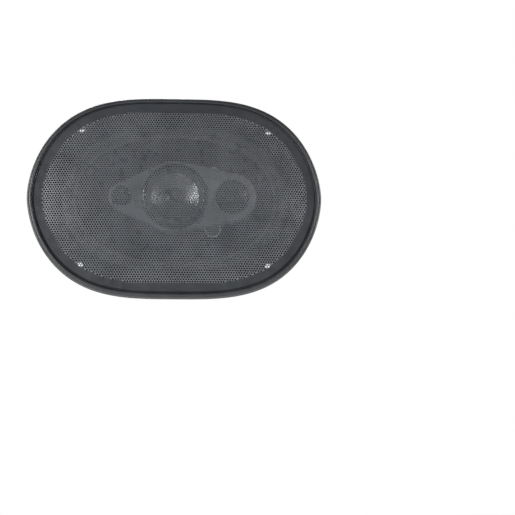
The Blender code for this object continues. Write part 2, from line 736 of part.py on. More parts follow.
def make_midrange(black, ferrite, paper, foam, shiny):
    back = POD_BACK_Y - POD_FLOOR - NUT_THICKNESS - 3 * GAP
    radius = MID_POCKET - GAP
    front = POD_FRONT_Y
    wall, sheet = MM, 0.5 * MM
    hole = 9 * MM
    dish = [
        (hole, back),
        (radius, back),
        (radius, front),
        (radius - 3 * MM, front),
        (radius - 3 * MM - wall, front + wall),
        (radius - 6 * MM, back - wall),
        (hole, back - wall),
    ]
    turned("midrange_frame", dish, black, 24, closed=True)
    trim = [
        (radius - 3.4 * MM, front - GAP),
        (radius - 0.2 * MM, front - GAP),
        (radius - 0.8 * MM, front - 1.4 * MM),
        (radius - 3.4 * MM, front - 1.8 * MM),
        (radius - 4.4 * MM, front - 1.2 * MM),
    ]
    turned("midrange_trim", trim, black, 32, closed=True)
    magnet, magnet_front = hole - 0.6 * MM, back - 2.6 * MM
    slug = [(0, back), (magnet, back), (magnet, magnet_front), (0, magnet_front)]
    turned("midrange_magnet", slug, ferrite, 16)
    neck, rim = hole - 0.2 * MM, MID_POCKET - 9.5 * MM
    cone_back, cone_front = back - 3.7 * MM, front + 0.2 * MM
    cone = [
        (neck, cone_back),
        (rim, cone_front),
        (rim + 0.6 * MM, cone_front - sheet),
        (neck, cone_back - sheet - 0.4 * MM),
    ]
    turned("midrange_cone", cone, paper, 24, closed=True)
    cap = [
        (0, cone_back - 0.6 * MM),
        (neck - GAP, cone_back - 0.4 * MM),
        (neck - GAP, cone_back - 0.9 * MM),
        (6 * MM, cone_back - 2.6 * MM),
        (3 * MM, cone_back - 3.5 * MM),
        (0, cone_back - 3.8 * MM),
    ]
    turned("midrange_dust_cap", cap, shiny, 16)
    inner, outer = rim + 0.9 * MM, radius - 4.8 * MM
    middle, height = (inner + outer) / 2, 1.8 * MM
    land = front - 0.1 * MM
    roll = [
        (inner, land),
        (middle, land - height),
        (outer, land),
        (outer, land - sheet),
        (middle, land - height - sheet),
        (inner, land - sheet),
    ]
    turned("midrange_surround", roll, foam, 24, closed=True)


def make_small_driver(prefix, x, pocket, dome_radius, black, ferrite, silk):
    """A dome driver: a dished housing, a magnet behind it and a dome in its mouth."""
    back = POD_BACK_Y - POD_FLOOR - GAP
    radius = pocket - GAP
    front = POD_FRONT_Y - 0.8 * MM
    throat = dome_radius + 1.2 * MM
    plate = front + 4.4 * MM
    housing = [
        (throat, plate),
        (throat + MM, plate),
        (radius - MM, front + 3 * MM),
        (radius - MM, back),
        (radius, back),
        (radius, front),
        (radius - 1.2 * MM, front - 0.6 * MM),
        (radius - 2 * MM, front),
        (throat, plate - 1.4 * MM),
    ]
    turned(f"{prefix}_housing", housing, black, 24, (x, 0), closed=True)
    magnet = throat - 0.4 * MM
    slug = [(0, back), (magnet, back), (magnet, plate), (0, plate)]
    turned(f"{prefix}_magnet", slug, ferrite, 16, (x, 0))
    base = plate - 0.9 * MM
    foot, rise = base - 0.5 * MM, 0.36 * dome_radius
    dome = [(0, base), (dome_radius, base), (dome_radius, foot)]
    for i in range(1, 4):
        a = pi / 2 * i / 4
        dome.append((dome_radius * cos(a), foot - rise * sin(a)))
    dome.append((0, foot - rise))
    turned(f"{prefix}_dome", dome, silk, 20, (x, 0))


# ---------------------------------------------------------------- terminals and leads


def make_terminals(phenolic, tin, braid):
    back = SHOULDER_Y + SHEET / 2 + GAP
    board_back = back + BOARD_THICKNESS
    outline = box_outline(BOARD_X, BOARD_X + BOARD_LENGTH, -BOARD_HALF_WIDTH, BOARD_HALF_WIDTH)
    board = prism("terminal_board", outline, back, board_back, phenolic)
    hole = [(RIVET_RADIUS + GAP, back - MM), (RIVET_RADIUS + GAP, board_back + MM)]
    cut(board, turned("board_rivet_hole", hole, phenolic, 12, (RIVET_X, 0)))
    front_head = SHOULDER_Y - SHEET / 2 - GAP
    rear_head = board_back + GAP
    head, crown = RIVET_RADIUS + 1.4 * MM, RIVET_RADIUS + MM
    rivet = [
        (0, front_head - MM),
        (crown, front_head - MM),
        (head, front_head),
        (RIVET_RADIUS, front_head),
        (RIVET_RADIUS, rear_head),
        (head, rear_head),
        (crown, rear_head + MM),
        (0, rear_head + MM),
    ]
    turned("terminal_rivet", rivet, tin, 16, (RIVET_X, 0))
    start = BOARD_X + 2 * MM
    end = start + SPADE_LENGTH
    for name, word, sign, width in (
        ("terminal_wide", "upper", 1, WIDE_SPADE),
        ("terminal_narrow", "lower", -1, NARROW_SPADE),
    ):
        inner = sign * SPADE_START
        outer = inner + sign * width
        low, high = min(inner, outer), max(inner, outer)
        outline = [
            (start, low),
            (end - SPADE_NOSE, low),
            (end, low + SPADE_NOSE / 2),
            (end, high - SPADE_NOSE / 2),
            (end - SPADE_NOSE, high),
            (start, high),
        ]
        spade = prism(name, outline, rear_head, rear_head + SPADE_THICKNESS, tin)
        eye = [(0.9 * MM, rear_head - MM), (0.9 * MM, rear_head + 2 * MM)]
        cut(spade, turned(f"{name}_eye", eye, tin, 12, (end - 4.5 * MM, (low + high) / 2)))
        make_lead(word, sign, back, braid)


def make_lead(word, sign, board_front, braid):
    """A braided lead from the board, in a loop through the end window, to the back of the cone."""
    z = sign * ANCHOR_Z
    end = cone_back_y(ANCHOR_X, z) + GAP + LEAD_RADIUS * 1.3
    start = board_front - GAP - LEAD_RADIUS * 1.1
    route = [
        (BOARD_X + 8 * MM, start, sign * 10 * MM),
        (BOARD_X + 11 * MM, start - 1.5 * MM, sign * 11.5 * MM),
        (BOARD_X + 10.5 * MM, start - 7 * MM, sign * 14 * MM),
        (BOARD_X + 4 * MM, start - 10.5 * MM, sign * 17.5 * MM),
        (BOARD_X - 6 * MM, start - 11 * MM, sign * 21.5 * MM),
        (ANCHOR_X + 5 * MM, end + 2.2 * MM, z - sign * MM),
        (ANCHOR_X, end, z),
    ]
    curve = bpy.data.curves.new(f"tinsel_lead_{word}", "CURVE")
    curve.dimensions = "3D"
    curve.bevel_depth = LEAD_RADIUS
    curve.bevel_resolution = 1
    curve.use_fill_caps = True
    points = smooth_route(route, 3)
    spline = curve.splines.new("POLY")
    spline.points.add(len(points) - 1)
    for target, point in zip(spline.points, points):
        target.co = (*point, 1)
    lead = bpy.data.objects.new(f"tinsel_lead_{word}", curve)
    curve.materials.append(braid)
    bpy.context.scene.collection.objects.link(lead)


def smooth_route(route, steps):
    """Points of a Catmull-Rom curve through the route."""
    knots = [Vector(p) for p in route]
    knots = [2 * knots[0] - knots[1]] + knots + [2 * knots[-1] - knots[-2]]
    points = []
    for a, b, c, d in zip(knots, knots[1:], knots[2:], knots[3:]):
        for i in range(steps):
            t = i / steps
            square, cube = 2 * a - 5 * b + 4 * c - d, 3 * b - a - 3 * c + d
            points.append(0.5 * (2 * b + (c - a) * t + square * t ** 2 + cube * t ** 3))
    points.append(knots[-2])
    return points


# ---------------------------------------------------------------- grille


def grille_oval(inset, y, segments=48):
    return oval_ring(GRILLE_HALF_LENGTH - inset, GRILLE_HALF_HEIGHT - inset, y, segments, GRILLE_OVAL)


def make_grille(plastic, steel):
    front = GRILLE_RIM_FRONT_Y
    web_front = GRILLE_SEAT_Y - GRILLE_WEB
    rim = GRILLE_RIM_WIDTH
    skirt = 2 * MM
    profile = [
        (0.6 * MM, -GAP),
        (0, -4 * MM),
        (0.3 * MM, front + 3.2 * MM),
        (1.8 * MM, front + 0.8 * MM),
        (3.6 * MM, front),
        (rim, front + 0.8 * MM),
        (rim + 0.3 * MM, web_front),
        (GRILLE_WEB_WIDTH, web_front),
        (GRILLE_WEB_WIDTH, GRILLE_SEAT_Y),
        (skirt + 1.2 * MM, GRILLE_SEAT_Y),
        (skirt + 0.6 * MM, -GAP),
    ]
    ring = lofted("grille_ring", [grille_oval(inset, y) for inset, y in profile], plastic, closed=True)
    for x_sign in (1, -1):
        for z_sign in (1, -1):
            x, z = x_sign * SCREW_X, z_sign * SCREW_Z
            hole = [(GRILLE_SCREW_RADIUS, GRILLE_SEAT_Y + MM), (GRILLE_SCREW_RADIUS, web_front - MM)]
            cut(ring, turned(f"grille_cutter_{x_sign}_{z_sign}", hole, plastic, 12, (x, z)))

    inset = rim + 0.8 * MM
    half_length, half_height = GRILLE_HALF_LENGTH - inset, GRILLE_HALF_HEIGHT - inset
    seat = web_front - GAP
    outside = []
    inside = []
    for share in (1, MESH_FLAT_SHARE, 0.75, 0.45, 0):
        rise = MESH_RISE * (1 - min(share / MESH_FLAT_SHARE, 1) ** 2.2)
        y = seat - MESH_THICKNESS - rise
        for rings, depth in ((outside, 0), (inside, MESH_THICKNESS)):
            if share == 0:
                rings.append([(0, y + depth, 0)])
            else:
                rings.append(oval_ring(half_length * share, half_height * share, y + depth, 48, GRILLE_OVAL))
    lofted("grille_mesh", outside[::-1] + inside, steel)


# ---------------------------------------------------------------- the speaker


def main():
    for obj in list(bpy.data.objects):
        bpy.data.objects.remove(obj, do_unlink=True)

    black_paint = material("gloss black paint", (0.02, 0.021, 0.023), 0.28)
    black_plastic = material("black plastic", (0.022, 0.023, 0.025), 0.45)
    grey_plastic = material("dark grey plastic", (0.08, 0.083, 0.09), 0.5)
    rubber = material("grey black rubber", (0.05, 0.053, 0.058), 0.5)
    zinc = material("zinc plated steel", (0.6, 0.61, 0.62), 0.3, 1.0)
    ferrite = material("ferrite", (0.035, 0.035, 0.037), 0.6)
    print_black = material("printed label", (0.018, 0.015, 0.02), 0.35)
    paper = material("black cone paper", (0.03, 0.03, 0.032), 0.65)
    foam = material("surround rubber", (0.03, 0.03, 0.032), 0.6)
    cloth = material("spider cloth", (0.55, 0.42, 0.2), 0.9)
    kapton = material("kapton", (0.5, 0.24, 0.05), 0.35)
    copper = material("copper", (0.75, 0.36, 0.2), 0.3, 1.0)
    silk = material("dome film", (0.3, 0.31, 0.33), 0.3, 0.6)
    blue = material("capacitor sleeve", (0.05, 0.08, 0.25), 0.4)
    phenolic = material("phenolic board", (0.05, 0.035, 0.025), 0.6)
    tin = material("tinned brass", (0.78, 0.76, 0.7), 0.28, 1.0)
    braid = material("tinsel braid", (0.8, 0.79, 0.74), 0.5, 0.7)
    glue = material("black glue", (0.03, 0.03, 0.03), 0.35)

    make_basket(black_paint)
    make_front_ring(black_plastic)
    make_motor(zinc, ferrite, rubber, print_black)
    make_cone(paper)
    make_voice_coil(kapton, copper)
    make_surround(foam)
    make_spider(cloth)
    make_lead_anchors(glue)
    make_pod(grey_plastic)
    make_post(zinc)
    make_capacitors(blue)
    make_midrange(black_plastic, ferrite, paper, foam, silk)
    make_small_driver("tweeter", POD_TWEETER_X, TWEETER_POCKET, TWEETER_DOME, black_plastic, ferrite, silk)
    make_small_driver("supertweeter", POD_SUPER_X, SUPER_POCKET, SUPER_DOME, black_plastic, ferrite, silk)
    make_terminals(phenolic, tin, braid)
    make_grille(black_plastic, black_paint)


main()
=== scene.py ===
"""The looks of a 6x9 inch coaxial car speaker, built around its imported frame.

The speaker's axis is Y: its front faces -Y and its magnet points to +Y. Lengths are in metres.
Overall sizes and places are read from the frame. The others are the named values below.
"""

import json
from math import atan, atan2, cos, hypot, pi, radians, sin, sqrt

import bmesh
import bpy
import numpy as np
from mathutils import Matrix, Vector
from mathutils.geometry import delaunay_2d_cdt

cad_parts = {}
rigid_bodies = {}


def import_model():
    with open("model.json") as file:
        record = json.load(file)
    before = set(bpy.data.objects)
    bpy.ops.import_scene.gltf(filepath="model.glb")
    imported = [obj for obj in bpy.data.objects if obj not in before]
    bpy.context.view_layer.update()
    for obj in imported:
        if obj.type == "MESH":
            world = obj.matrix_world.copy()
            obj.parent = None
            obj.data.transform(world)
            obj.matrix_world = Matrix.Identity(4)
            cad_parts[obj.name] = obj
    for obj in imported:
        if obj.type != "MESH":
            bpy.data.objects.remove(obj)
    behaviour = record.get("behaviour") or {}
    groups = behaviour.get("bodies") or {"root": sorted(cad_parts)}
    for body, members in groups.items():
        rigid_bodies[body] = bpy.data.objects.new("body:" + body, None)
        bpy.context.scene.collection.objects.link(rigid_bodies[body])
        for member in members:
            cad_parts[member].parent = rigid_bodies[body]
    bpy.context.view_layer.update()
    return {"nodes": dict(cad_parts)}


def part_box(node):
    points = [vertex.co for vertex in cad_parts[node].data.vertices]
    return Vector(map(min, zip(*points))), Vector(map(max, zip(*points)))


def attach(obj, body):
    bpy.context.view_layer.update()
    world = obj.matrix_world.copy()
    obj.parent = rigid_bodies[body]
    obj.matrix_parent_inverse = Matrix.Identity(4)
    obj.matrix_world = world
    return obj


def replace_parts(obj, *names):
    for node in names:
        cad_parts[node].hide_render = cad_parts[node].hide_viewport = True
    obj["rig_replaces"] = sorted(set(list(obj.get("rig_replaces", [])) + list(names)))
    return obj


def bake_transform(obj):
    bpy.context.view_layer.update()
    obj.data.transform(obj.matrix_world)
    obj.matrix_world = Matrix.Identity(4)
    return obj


MM = 0.001
OVAL = (2.35, 2.1)  # exponents along X and Z of the basket's and cone's ovals
GRILLE_OVAL = (3.3, 1.75)
SHEET = 1.2 * MM  # basket steel
ANGLES = np.linspace(0, 2 * pi, 360, endpoint=False)

for obj in list(bpy.data.objects):
    bpy.data.objects.remove(obj, do_unlink=True)
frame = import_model()


# ---------------------------------------------------------------- materials


FINISHES = {}  # every material by its name


def set_sockets(node, values):
    for name, value in values.items():
        node.inputs[name].default_value = value


class Surface:
    """A Principled material whose colour, roughness and bump come from nodes in object space."""

    def __init__(self, name, metallic=0.0, coat=0.0, coat_roughness=0.1, specular=0.5):
        material = bpy.data.materials.new(name)
        material.use_nodes = True
        FINISHES[name] = material
        self.tree = material.node_tree
        self.shader = self.tree.nodes["Principled BSDF"]
        set_sockets(self.shader, {"Metallic": metallic, "Coat Weight": coat, "Coat Roughness": coat_roughness,
                                  "Specular IOR Level": specular})
        self.place = self.node("ShaderNodeTexCoord").outputs["Object"]
        self.height = None

    def node(self, kind, values=None, **settings):
        made = self.tree.nodes.new(kind)
        for name, value in settings.items():
            setattr(made, name, value)
        set_sockets(made, values or {})
        return made

    def link(self, source, target):
        self.tree.links.new(source, target)

    def stretched(self, scale, location=(0, 0, 0)):
        mapping = self.node("ShaderNodeMapping", {"Scale": scale, "Location": location})
        self.link(self.place, mapping.inputs["Vector"])
        return mapping.outputs["Vector"]

    def noise(self, grain, detail=4.0, stretch=(1, 1, 1), distortion=0.0):
        values = {"Scale": 1 / grain, "Detail": detail, "Distortion": distortion}
        made = self.node("ShaderNodeTexNoise", values)
        self.link(self.stretched(stretch), made.inputs["Vector"])
        return made.outputs["Fac"]

    def waves(self, spacing, wave_type="BANDS", direction="X", distortion=0.0, location=(0, 0, 0)):
        made = self.node("ShaderNodeTexWave", wave_type=wave_type)
        made.bands_direction = direction if wave_type == "BANDS" else "X"
        made.rings_direction = direction if wave_type == "RINGS" else "X"
        set_sockets(made, {"Scale": pi / (10 * spacing), "Distortion": distortion, "Detail Scale": 2.0})
        self.link(self.stretched((1, 1, 1), location), made.inputs["Vector"])
        return made.outputs["Fac"]

    def combine(self, operation, first, second):
        made = self.node("ShaderNodeMath", operation=operation)
        self.link(first, made.inputs[0])
        if isinstance(second, float):
            made.inputs[1].default_value = second
        else:
            self.link(second, made.inputs[1])
        return made.outputs[0]

    def colour(self, source, dark, light, low=0.3, high=0.7):
        ramp = self.node("ShaderNodeValToRGB")
        ramp.color_ramp.elements[0].position = low
        ramp.color_ramp.elements[0].color = (*dark, 1)
        ramp.color_ramp.elements[1].position = high
        ramp.color_ramp.elements[1].color = (*light, 1)
        self.link(source, ramp.inputs["Fac"])
        self.link(ramp.outputs["Color"], self.shader.inputs["Base Color"])
        return self

    def rough(self, source, low, high):
        values = {"From Min": 0.3, "From Max": 0.7, "To Min": low, "To Max": high}
        spread = self.node("ShaderNodeMapRange", values)
        self.link(source, spread.inputs["Value"])
        self.link(spread.outputs["Result"], self.shader.inputs["Roughness"])
        return self

    def bump(self, source, depth, strength=1.0):
        made = self.node("ShaderNodeBump", {"Strength": strength, "Distance": depth})
        self.link(source, made.inputs["Height"])
        if self.height is not None:
            self.link(self.height, made.inputs["Normal"])
        self.height = made.outputs["Normal"]
        self.link(self.height, self.shader.inputs["Normal"])
        return self


def grained(name, dark, light, grain, rough, bump, metallic=0.0, coat=0.0, specular=0.5):
    """A moulded or painted finish: fine grain, and a slow drift in colour and gloss."""
    made = Surface(name, metallic, coat, specular=specular)
    made.colour(made.noise(26 * MM, 6), dark, light)
    made.rough(made.noise(9 * MM, 5), *rough)
    made.bump(made.noise(grain, 3), bump)


def machined(name, dark, light, spacing, rough):
    """Turned and plated metal: fine rings round the Y axis under a mottled plating."""
    made = Surface(name, 1.0)
    made.colour(made.noise(7 * MM, 6), dark, light)
    made.rough(made.noise(3 * MM, 5), *rough)
    made.bump(made.waves(spacing, "RINGS", "Y"), 0.02 * MM, 0.5)
    made.bump(made.noise(0.5 * MM, 3), 0.02 * MM, 0.4)


def woven(name, dark, light, thread, rough):
    """Cloth of two crossing threads, in the plane of the speaker."""
    made = Surface(name, specular=0.3)
    warp, weft = (made.waves(thread, direction=d, distortion=0.4) for d in "XZ")
    weave = made.combine("MULTIPLY", warp, weft)
    made.colour(made.combine("ADD", weave, made.noise(5 * MM, 5)), dark, light, 0.35, 1.2)
    made.rough(made.noise(4 * MM), *rough)
    made.bump(weave, 0.12 * MM, 0.7)


def fibrous(name, dark, light, rough):
    """Pressed paper pulp: short fibres lying every way."""
    made = Surface(name, specular=0.35)
    fibres = made.noise(1.1 * MM, 8, (1, 1, 3.5), 1.2)
    made.colour(made.combine("MULTIPLY", fibres, made.noise(0.5 * MM, 6)), dark, light, 0.12, 0.45)
    made.rough(made.noise(6 * MM, 5), *rough)
    made.bump(fibres, 0.12 * MM, 0.6)


def wound(name, dark, light, spacing, direction, rough, metallic=0.9):
    """Wire wound or twisted in even turns along one axis."""
    made = Surface(name, metallic)
    turns = made.waves(spacing, direction=direction, distortion=0.2)
    made.colour(turns, dark, light, 0.1, 0.8)
    made.rough(made.noise(2 * MM), *rough)
    made.bump(turns, 0.08 * MM, 0.8)


grained("basket_paint", (0.012, 0.013, 0.015), (0.024, 0.026, 0.030), 1.1 * MM, (0.16, 0.3), 0.02 * MM,
        coat=0.6, specular=0.7)
grained("mesh_paint", (0.076, 0.081, 0.089), (0.115, 0.121, 0.131), 0.25 * MM, (0.24, 0.36), 0.03 * MM)
# the mesh paint again, painted darker as shade on the plain margin round the holes
grained("mesh_margin_painted_shade", (0.013, 0.0145, 0.0175), (0.020, 0.0225, 0.027), 0.25 * MM, (0.34, 0.46), 0.03 * MM)
grained("black_plastic", (0.012, 0.013, 0.015), (0.021, 0.023, 0.026), 0.35 * MM, (0.3, 0.44), 0.035 * MM)
grained("pod_plastic", (0.20, 0.208, 0.22), (0.27, 0.279, 0.292), 0.3 * MM, (0.28, 0.4), 0.03 * MM)
grained("boot_rubber", (0.050, 0.055, 0.062), (0.085, 0.092, 0.102), 0.4 * MM, (0.36, 0.5), 0.05 * MM)
grained("label_film", (0.004, 0.0035, 0.005), (0.007, 0.006, 0.009), 0.6 * MM, (0.3, 0.42), 0.01 * MM,
        specular=0.15)
grained("label_copper", (0.34, 0.15, 0.055), (0.46, 0.21, 0.085), 0.5 * MM, (0.36, 0.48), 0.01 * MM, 0.4)
machined("zinc_steel", (0.50, 0.51, 0.53), (0.66, 0.67, 0.68), 0.25 * MM, (0.22, 0.38))
grained("ferrite", (0.022, 0.022, 0.024), (0.055, 0.055, 0.058), 0.3 * MM, (0.5, 0.7), 0.08 * MM)
fibrous("cone_paper", (0.012, 0.012, 0.013), (0.045, 0.045, 0.048), (0.5, 0.68))
grained("surround_rubber", (0.085, 0.088, 0.094), (0.125, 0.129, 0.136), 0.5 * MM, (0.32, 0.46), 0.04 * MM)
woven("spider_cloth", (0.26, 0.17, 0.06), (0.56, 0.42, 0.20), 0.55 * MM, (0.75, 0.9))
grained("coil_former", (0.36, 0.15, 0.02), (0.56, 0.27, 0.05), 2 * MM, (0.2, 0.3), 0.01 * MM, coat=0.4)
wound("copper_wire", (0.36, 0.12, 0.05), (0.86, 0.42, 0.22), 0.3 * MM, "Y", (0.22, 0.35))
grained("dome_film", (0.06, 0.062, 0.068), (0.11, 0.113, 0.12), 0.4 * MM, (0.14, 0.22), 0.01 * MM, 0.5, 0.5)
grained("bright_trim", (0.42, 0.43, 0.45), (0.56, 0.57, 0.58), 0.6 * MM, (0.2, 0.3), 0.01 * MM, 0.95)
grained("gloss_plastic", (0.014, 0.015, 0.017), (0.024, 0.025, 0.028), 0.8 * MM, (0.16, 0.24), 0.01 * MM,
        coat=0.5, specular=0.7)
grained("cone_film", (0.22, 0.225, 0.235), (0.30, 0.305, 0.315), 0.5 * MM, (0.18, 0.26), 0.02 * MM, 0.95)
grained("capacitor_sleeve", (0.02, 0.04, 0.16), (0.04, 0.07, 0.24), 0.8 * MM, (0.22, 0.34), 0.01 * MM,
        coat=0.3)
fibrous("phenolic", (0.02, 0.012, 0.008), (0.07, 0.045, 0.03), (0.4, 0.55))
grained("tinned_brass", (0.48, 0.46, 0.41), (0.66, 0.64, 0.58), 0.5 * MM, (0.24, 0.4), 0.02 * MM, 1.0)
grained("tinsel", (0.60, 0.58, 0.52), (0.86, 0.84, 0.78), 0.25 * MM, (0.35, 0.5), 0.03 * MM, 0.7)
# the patch glue in light grey: a painted highlight on the raised rim of each lead patch
grained("glue_bead_painted_highlight", (0.62, 0.62, 0.63), (0.80, 0.80, 0.81), 0.7 * MM, (0.2, 0.32), 0.04 * MM, coat=0.4)
grained("glue", (0.10, 0.10, 0.105), (0.20, 0.20, 0.21), 1.4 * MM, (0.12, 0.25), 0.06 * MM, coat=0.6)


# ---------------------------------------------------------------- mesh tools


def place(obj):
    bpy.context.scene.collection.objects.link(obj)


def add(name, points, faces, finish, body, nodes, slot=None, angle=35):
    """Points and faces as a closed, smooth-shaded piece that rides on a body and stands for CAD nodes."""
    mesh = bpy.data.meshes.new(name)
    mesh.from_pydata([tuple(p) for p in points], [], [tuple(f) for f in faces])
    bm = bmesh.new()
    bm.from_mesh(mesh)
    bmesh.ops.remove_doubles(bm, verts=bm.verts, dist=1e-6)
    bmesh.ops.recalc_face_normals(bm, faces=bm.faces)
    bm.to_mesh(mesh)
    bm.free()
    mesh.materials.append(FINISHES[finish])
    mesh.shade_smooth()
    mesh.set_sharp_from_angle(angle=radians(angle))
    piece = bpy.data.objects.new(name, mesh)
    place(piece)
    if body:
        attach(piece, body)
    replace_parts(piece, *nodes)
    return piece


def loft_faces(rows, count, closed):
    faces = []
    for row in range(rows if closed else rows - 1):
        a, b = row * count, (row + 1) % rows * count
        faces += [(a + i, a + (i + 1) % count, b + (i + 1) % count, b + i) for i in range(count)]
    return faces


def loft(name, rings, finish, body, nodes, closed=True, **more):
    """Rings of points joined in order, and the last to the first when closed."""
    return add(name, np.concatenate(rings), loft_faces(len(rings), len(rings[0]), closed), finish, body,
               nodes, **more)


def strip(rings):
    """Points and faces of a surface through rings in order."""
    return np.concatenate(rings), loft_faces(len(rings), len(rings[0]), False)


def raised(flat, y):
    """Points (x, z) moved to y, which is one height or a height for each point."""
    return np.column_stack([flat[:, 0], np.full(len(flat), y), flat[:, 1]])


def around(angles, reach, y, centre=(0, 0)):
    """Points at y, at each angle round centre and reach away from it."""
    flat = np.column_stack([centre[0] + reach * np.cos(angles), centre[1] + reach * np.sin(angles)])
    return raised(flat, y)


def circle(radius, y, centre=(0, 0), segments=128):
    return around(np.linspace(0, 2 * pi, segments, endpoint=False), radius, y, centre)


def fillet(profile, radius, closed=True, steps=3):
    """Rounds the corners of a profile, each by no more than its sides allow."""
    corners = [Vector(p) for p in profile]
    count = len(corners)
    rounded = []
    for i, here in enumerate(corners):
        if not closed and i in (0, count - 1):
            rounded.append(tuple(here))
            continue
        back, ahead = corners[i - 1] - here, corners[(i + 1) % count] - here
        reach = min(radius, 0.45 * back.length, 0.45 * ahead.length)
        start, end = here + back.normalized() * reach, here + ahead.normalized() * reach
        for step in range(steps + 1):
            t = step / steps
            rounded.append(tuple(start.lerp(here, t).lerp(here.lerp(end, t), t)))
    return rounded


def turned(name, profile, finish, body, nodes, centre=(0, 0), edge=0.3 * MM, segments=96, **more):
    """A profile of (radius, y) turned round the Y axis through centre, with its corners rounded.

    A profile that starts and ends on the axis makes a solid; any other is closed and makes a ring.
    """
    closed = all(radius > 0 for radius, _ in profile)
    rings = [circle(radius, y, centre, segments) for radius, y in fillet(profile, edge, closed)]
    return loft(name, rings, finish, body, nodes, closed=closed, **more)


def oval_reach(angles, half_length, half_height, exponents=OVAL):
    """Distance from the centre to the oval |x/a|^p + |z/b|^q = 1 in each direction."""
    c, s = np.abs(np.cos(angles)), np.abs(np.sin(angles))
    low, high = np.zeros_like(angles), np.full_like(angles, half_length + half_height)
    for _ in range(46):
        middle = (low + high) / 2
        inside = (middle * c / half_length) ** exponents[0] + (middle * s / half_height) ** exponents[1] < 1
        low, high = np.where(inside, middle, low), np.where(inside, high, middle)
    return low


def oval(half_length, half_height, y, exponents=OVAL):
    return around(ANGLES, oval_reach(ANGLES, half_length, half_height, exponents), y)


def inside(points, loop):
    """Which (x, z) points lie inside a closed outline."""
    x, z = points[:, :1], points[:, 1:]
    ax, az = loop[:, 0], loop[:, 1]
    bx, bz = np.roll(ax, -1), np.roll(az, -1)
    rise = np.where(bz == az, 1e-12, bz - az)
    crossed = ((az > z) != (bz > z)) & (x < (bx - ax) * (z - az) / rise + ax)
    return crossed.sum(1) % 2 == 1


def flat_sheet(outer, holes, filling=()):
    """Triangles of the region between an outline and its holes, as (x, z) points and faces."""
    loops = [np.asarray(outer)] + [np.asarray(hole) for hole in holes]
    coords = [Vector(p) for loop in loops for p in loop] + [Vector(p) for p in filling]
    edges = []
    for loop in loops:
        start = len(edges)
        edges += [(start + i, start + (i + 1) % len(loop)) for i in range(len(loop))]
    verts, _, faces, *_ = delaunay_2d_cdt(coords, edges, [], 0, 1e-8)
    points, faces = np.array([tuple(v) for v in verts]), np.array(faces)
    middles = points[faces].mean(1)
    keep = inside(middles, loops[0])
    for hole in loops[1:]:
        keep &= ~inside(middles, hole)
    return points, faces[keep]


def plate(name, outer, holes, y0, y1, finish, body, nodes, bevel=0.15 * MM, **more):
    """A flat plate with holes, between two planes across the Y axis, with bevelled edges."""
    flat, faces = flat_sheet(outer, holes)
    count = len(flat)
    points = np.array([(x, y, z) for y in (y0, y1) for x, z in flat])
    sides = {}
    for a, b, c in faces:
        for edge in ((a, b), (b, c), (c, a)):
            sides[edge] = sides.get(edge, 0) + 1
    walls = [(a, b, b + count, a + count) for a, b in sides if (b, a) not in sides]
    made = add(name, points, list(faces) + [(c + count, b + count, a + count) for a, b, c in faces] + walls,
               finish, body, nodes, **more)
    soften = made.modifiers.new("edges", "BEVEL")
    soften.width = bevel
    soften.segments = 2
    soften.limit_method = "ANGLE"
    return settle(made)


def rounded_outline(corners, radius, steps=6):
    return np.array(fillet(corners, radius, True, steps))


def ring_outline(centre, radius, segments=24):
    return circle(radius, 0, centre, segments)[:, [0, 2]]


def settle(piece, angle=40):
    """Applies a piece's modifiers, then keeps its flat faces flat next to their rounded edges."""
    graph = bpy.context.evaluated_depsgraph_get()
    made = bpy.data.meshes.new_from_object(piece.evaluated_get(graph))
    piece.modifiers.clear()
    piece.data = made
    made.shade_smooth()
    made.set_sharp_from_angle(angle=radians(angle))
    weighted = piece.modifiers.new("flat faces", "WEIGHTED_NORMAL")
    weighted.keep_sharp = True
    return piece


def mirrored(outline, x_sign, z_sign):
    return np.asarray(outline) * (x_sign, z_sign)


# ---------------------------------------------------------------- perforated grille mesh

RING_LOW, RING_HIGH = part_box("grille_ring")
MESH_LOW, MESH_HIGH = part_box("grille_mesh")
HOLE_PITCH = 2.4 * MM
HOLE_RADIUS = 1.06 * MM
HOLE_TAPER = 0.82  # the holes narrow towards the back
MESH_MARGIN = 7.4 * MM  # plain edge round the holes
MESH_SHEET = 0.9 * MM
FLAT_SHARE = 0.94  # the mesh is flat outside this share of its outline


def oval_share(x, z, half_length, half_height, exponents):
    """Scale of the oval that passes through each point."""
    low, high = np.zeros_like(x), np.full_like(x, 2.0)
    for _ in range(40):
        middle = (low + high) / 2
        across, along = np.abs(x / (half_length * middle)), np.abs(z / (half_height * middle))
        within = across ** exponents[0] + along ** exponents[1] < 1
        low, high = np.where(within, low, middle), np.where(within, middle, high)
    return high


def mesh_height(x, z):
    """Y of the mesh's front face: a shallow dome with a flat edge."""
    half_length, half_height = MESH_HIGH.x, MESH_HIGH.z
    share = oval_share(x, z, half_length, half_height, GRILLE_OVAL)
    plain = np.sqrt((x / half_length) ** 2 + (z / half_height) ** 2)
    weight = np.clip(share / FLAT_SHARE, 0, 1) ** 3
    mixed = np.clip((plain + (share - plain) * weight) / FLAT_SHARE, 0, 1)
    flat_y = MESH_HIGH.y - MESH_SHEET
    return flat_y + (MESH_LOW.y - flat_y) * (1 - mixed ** 2.2)


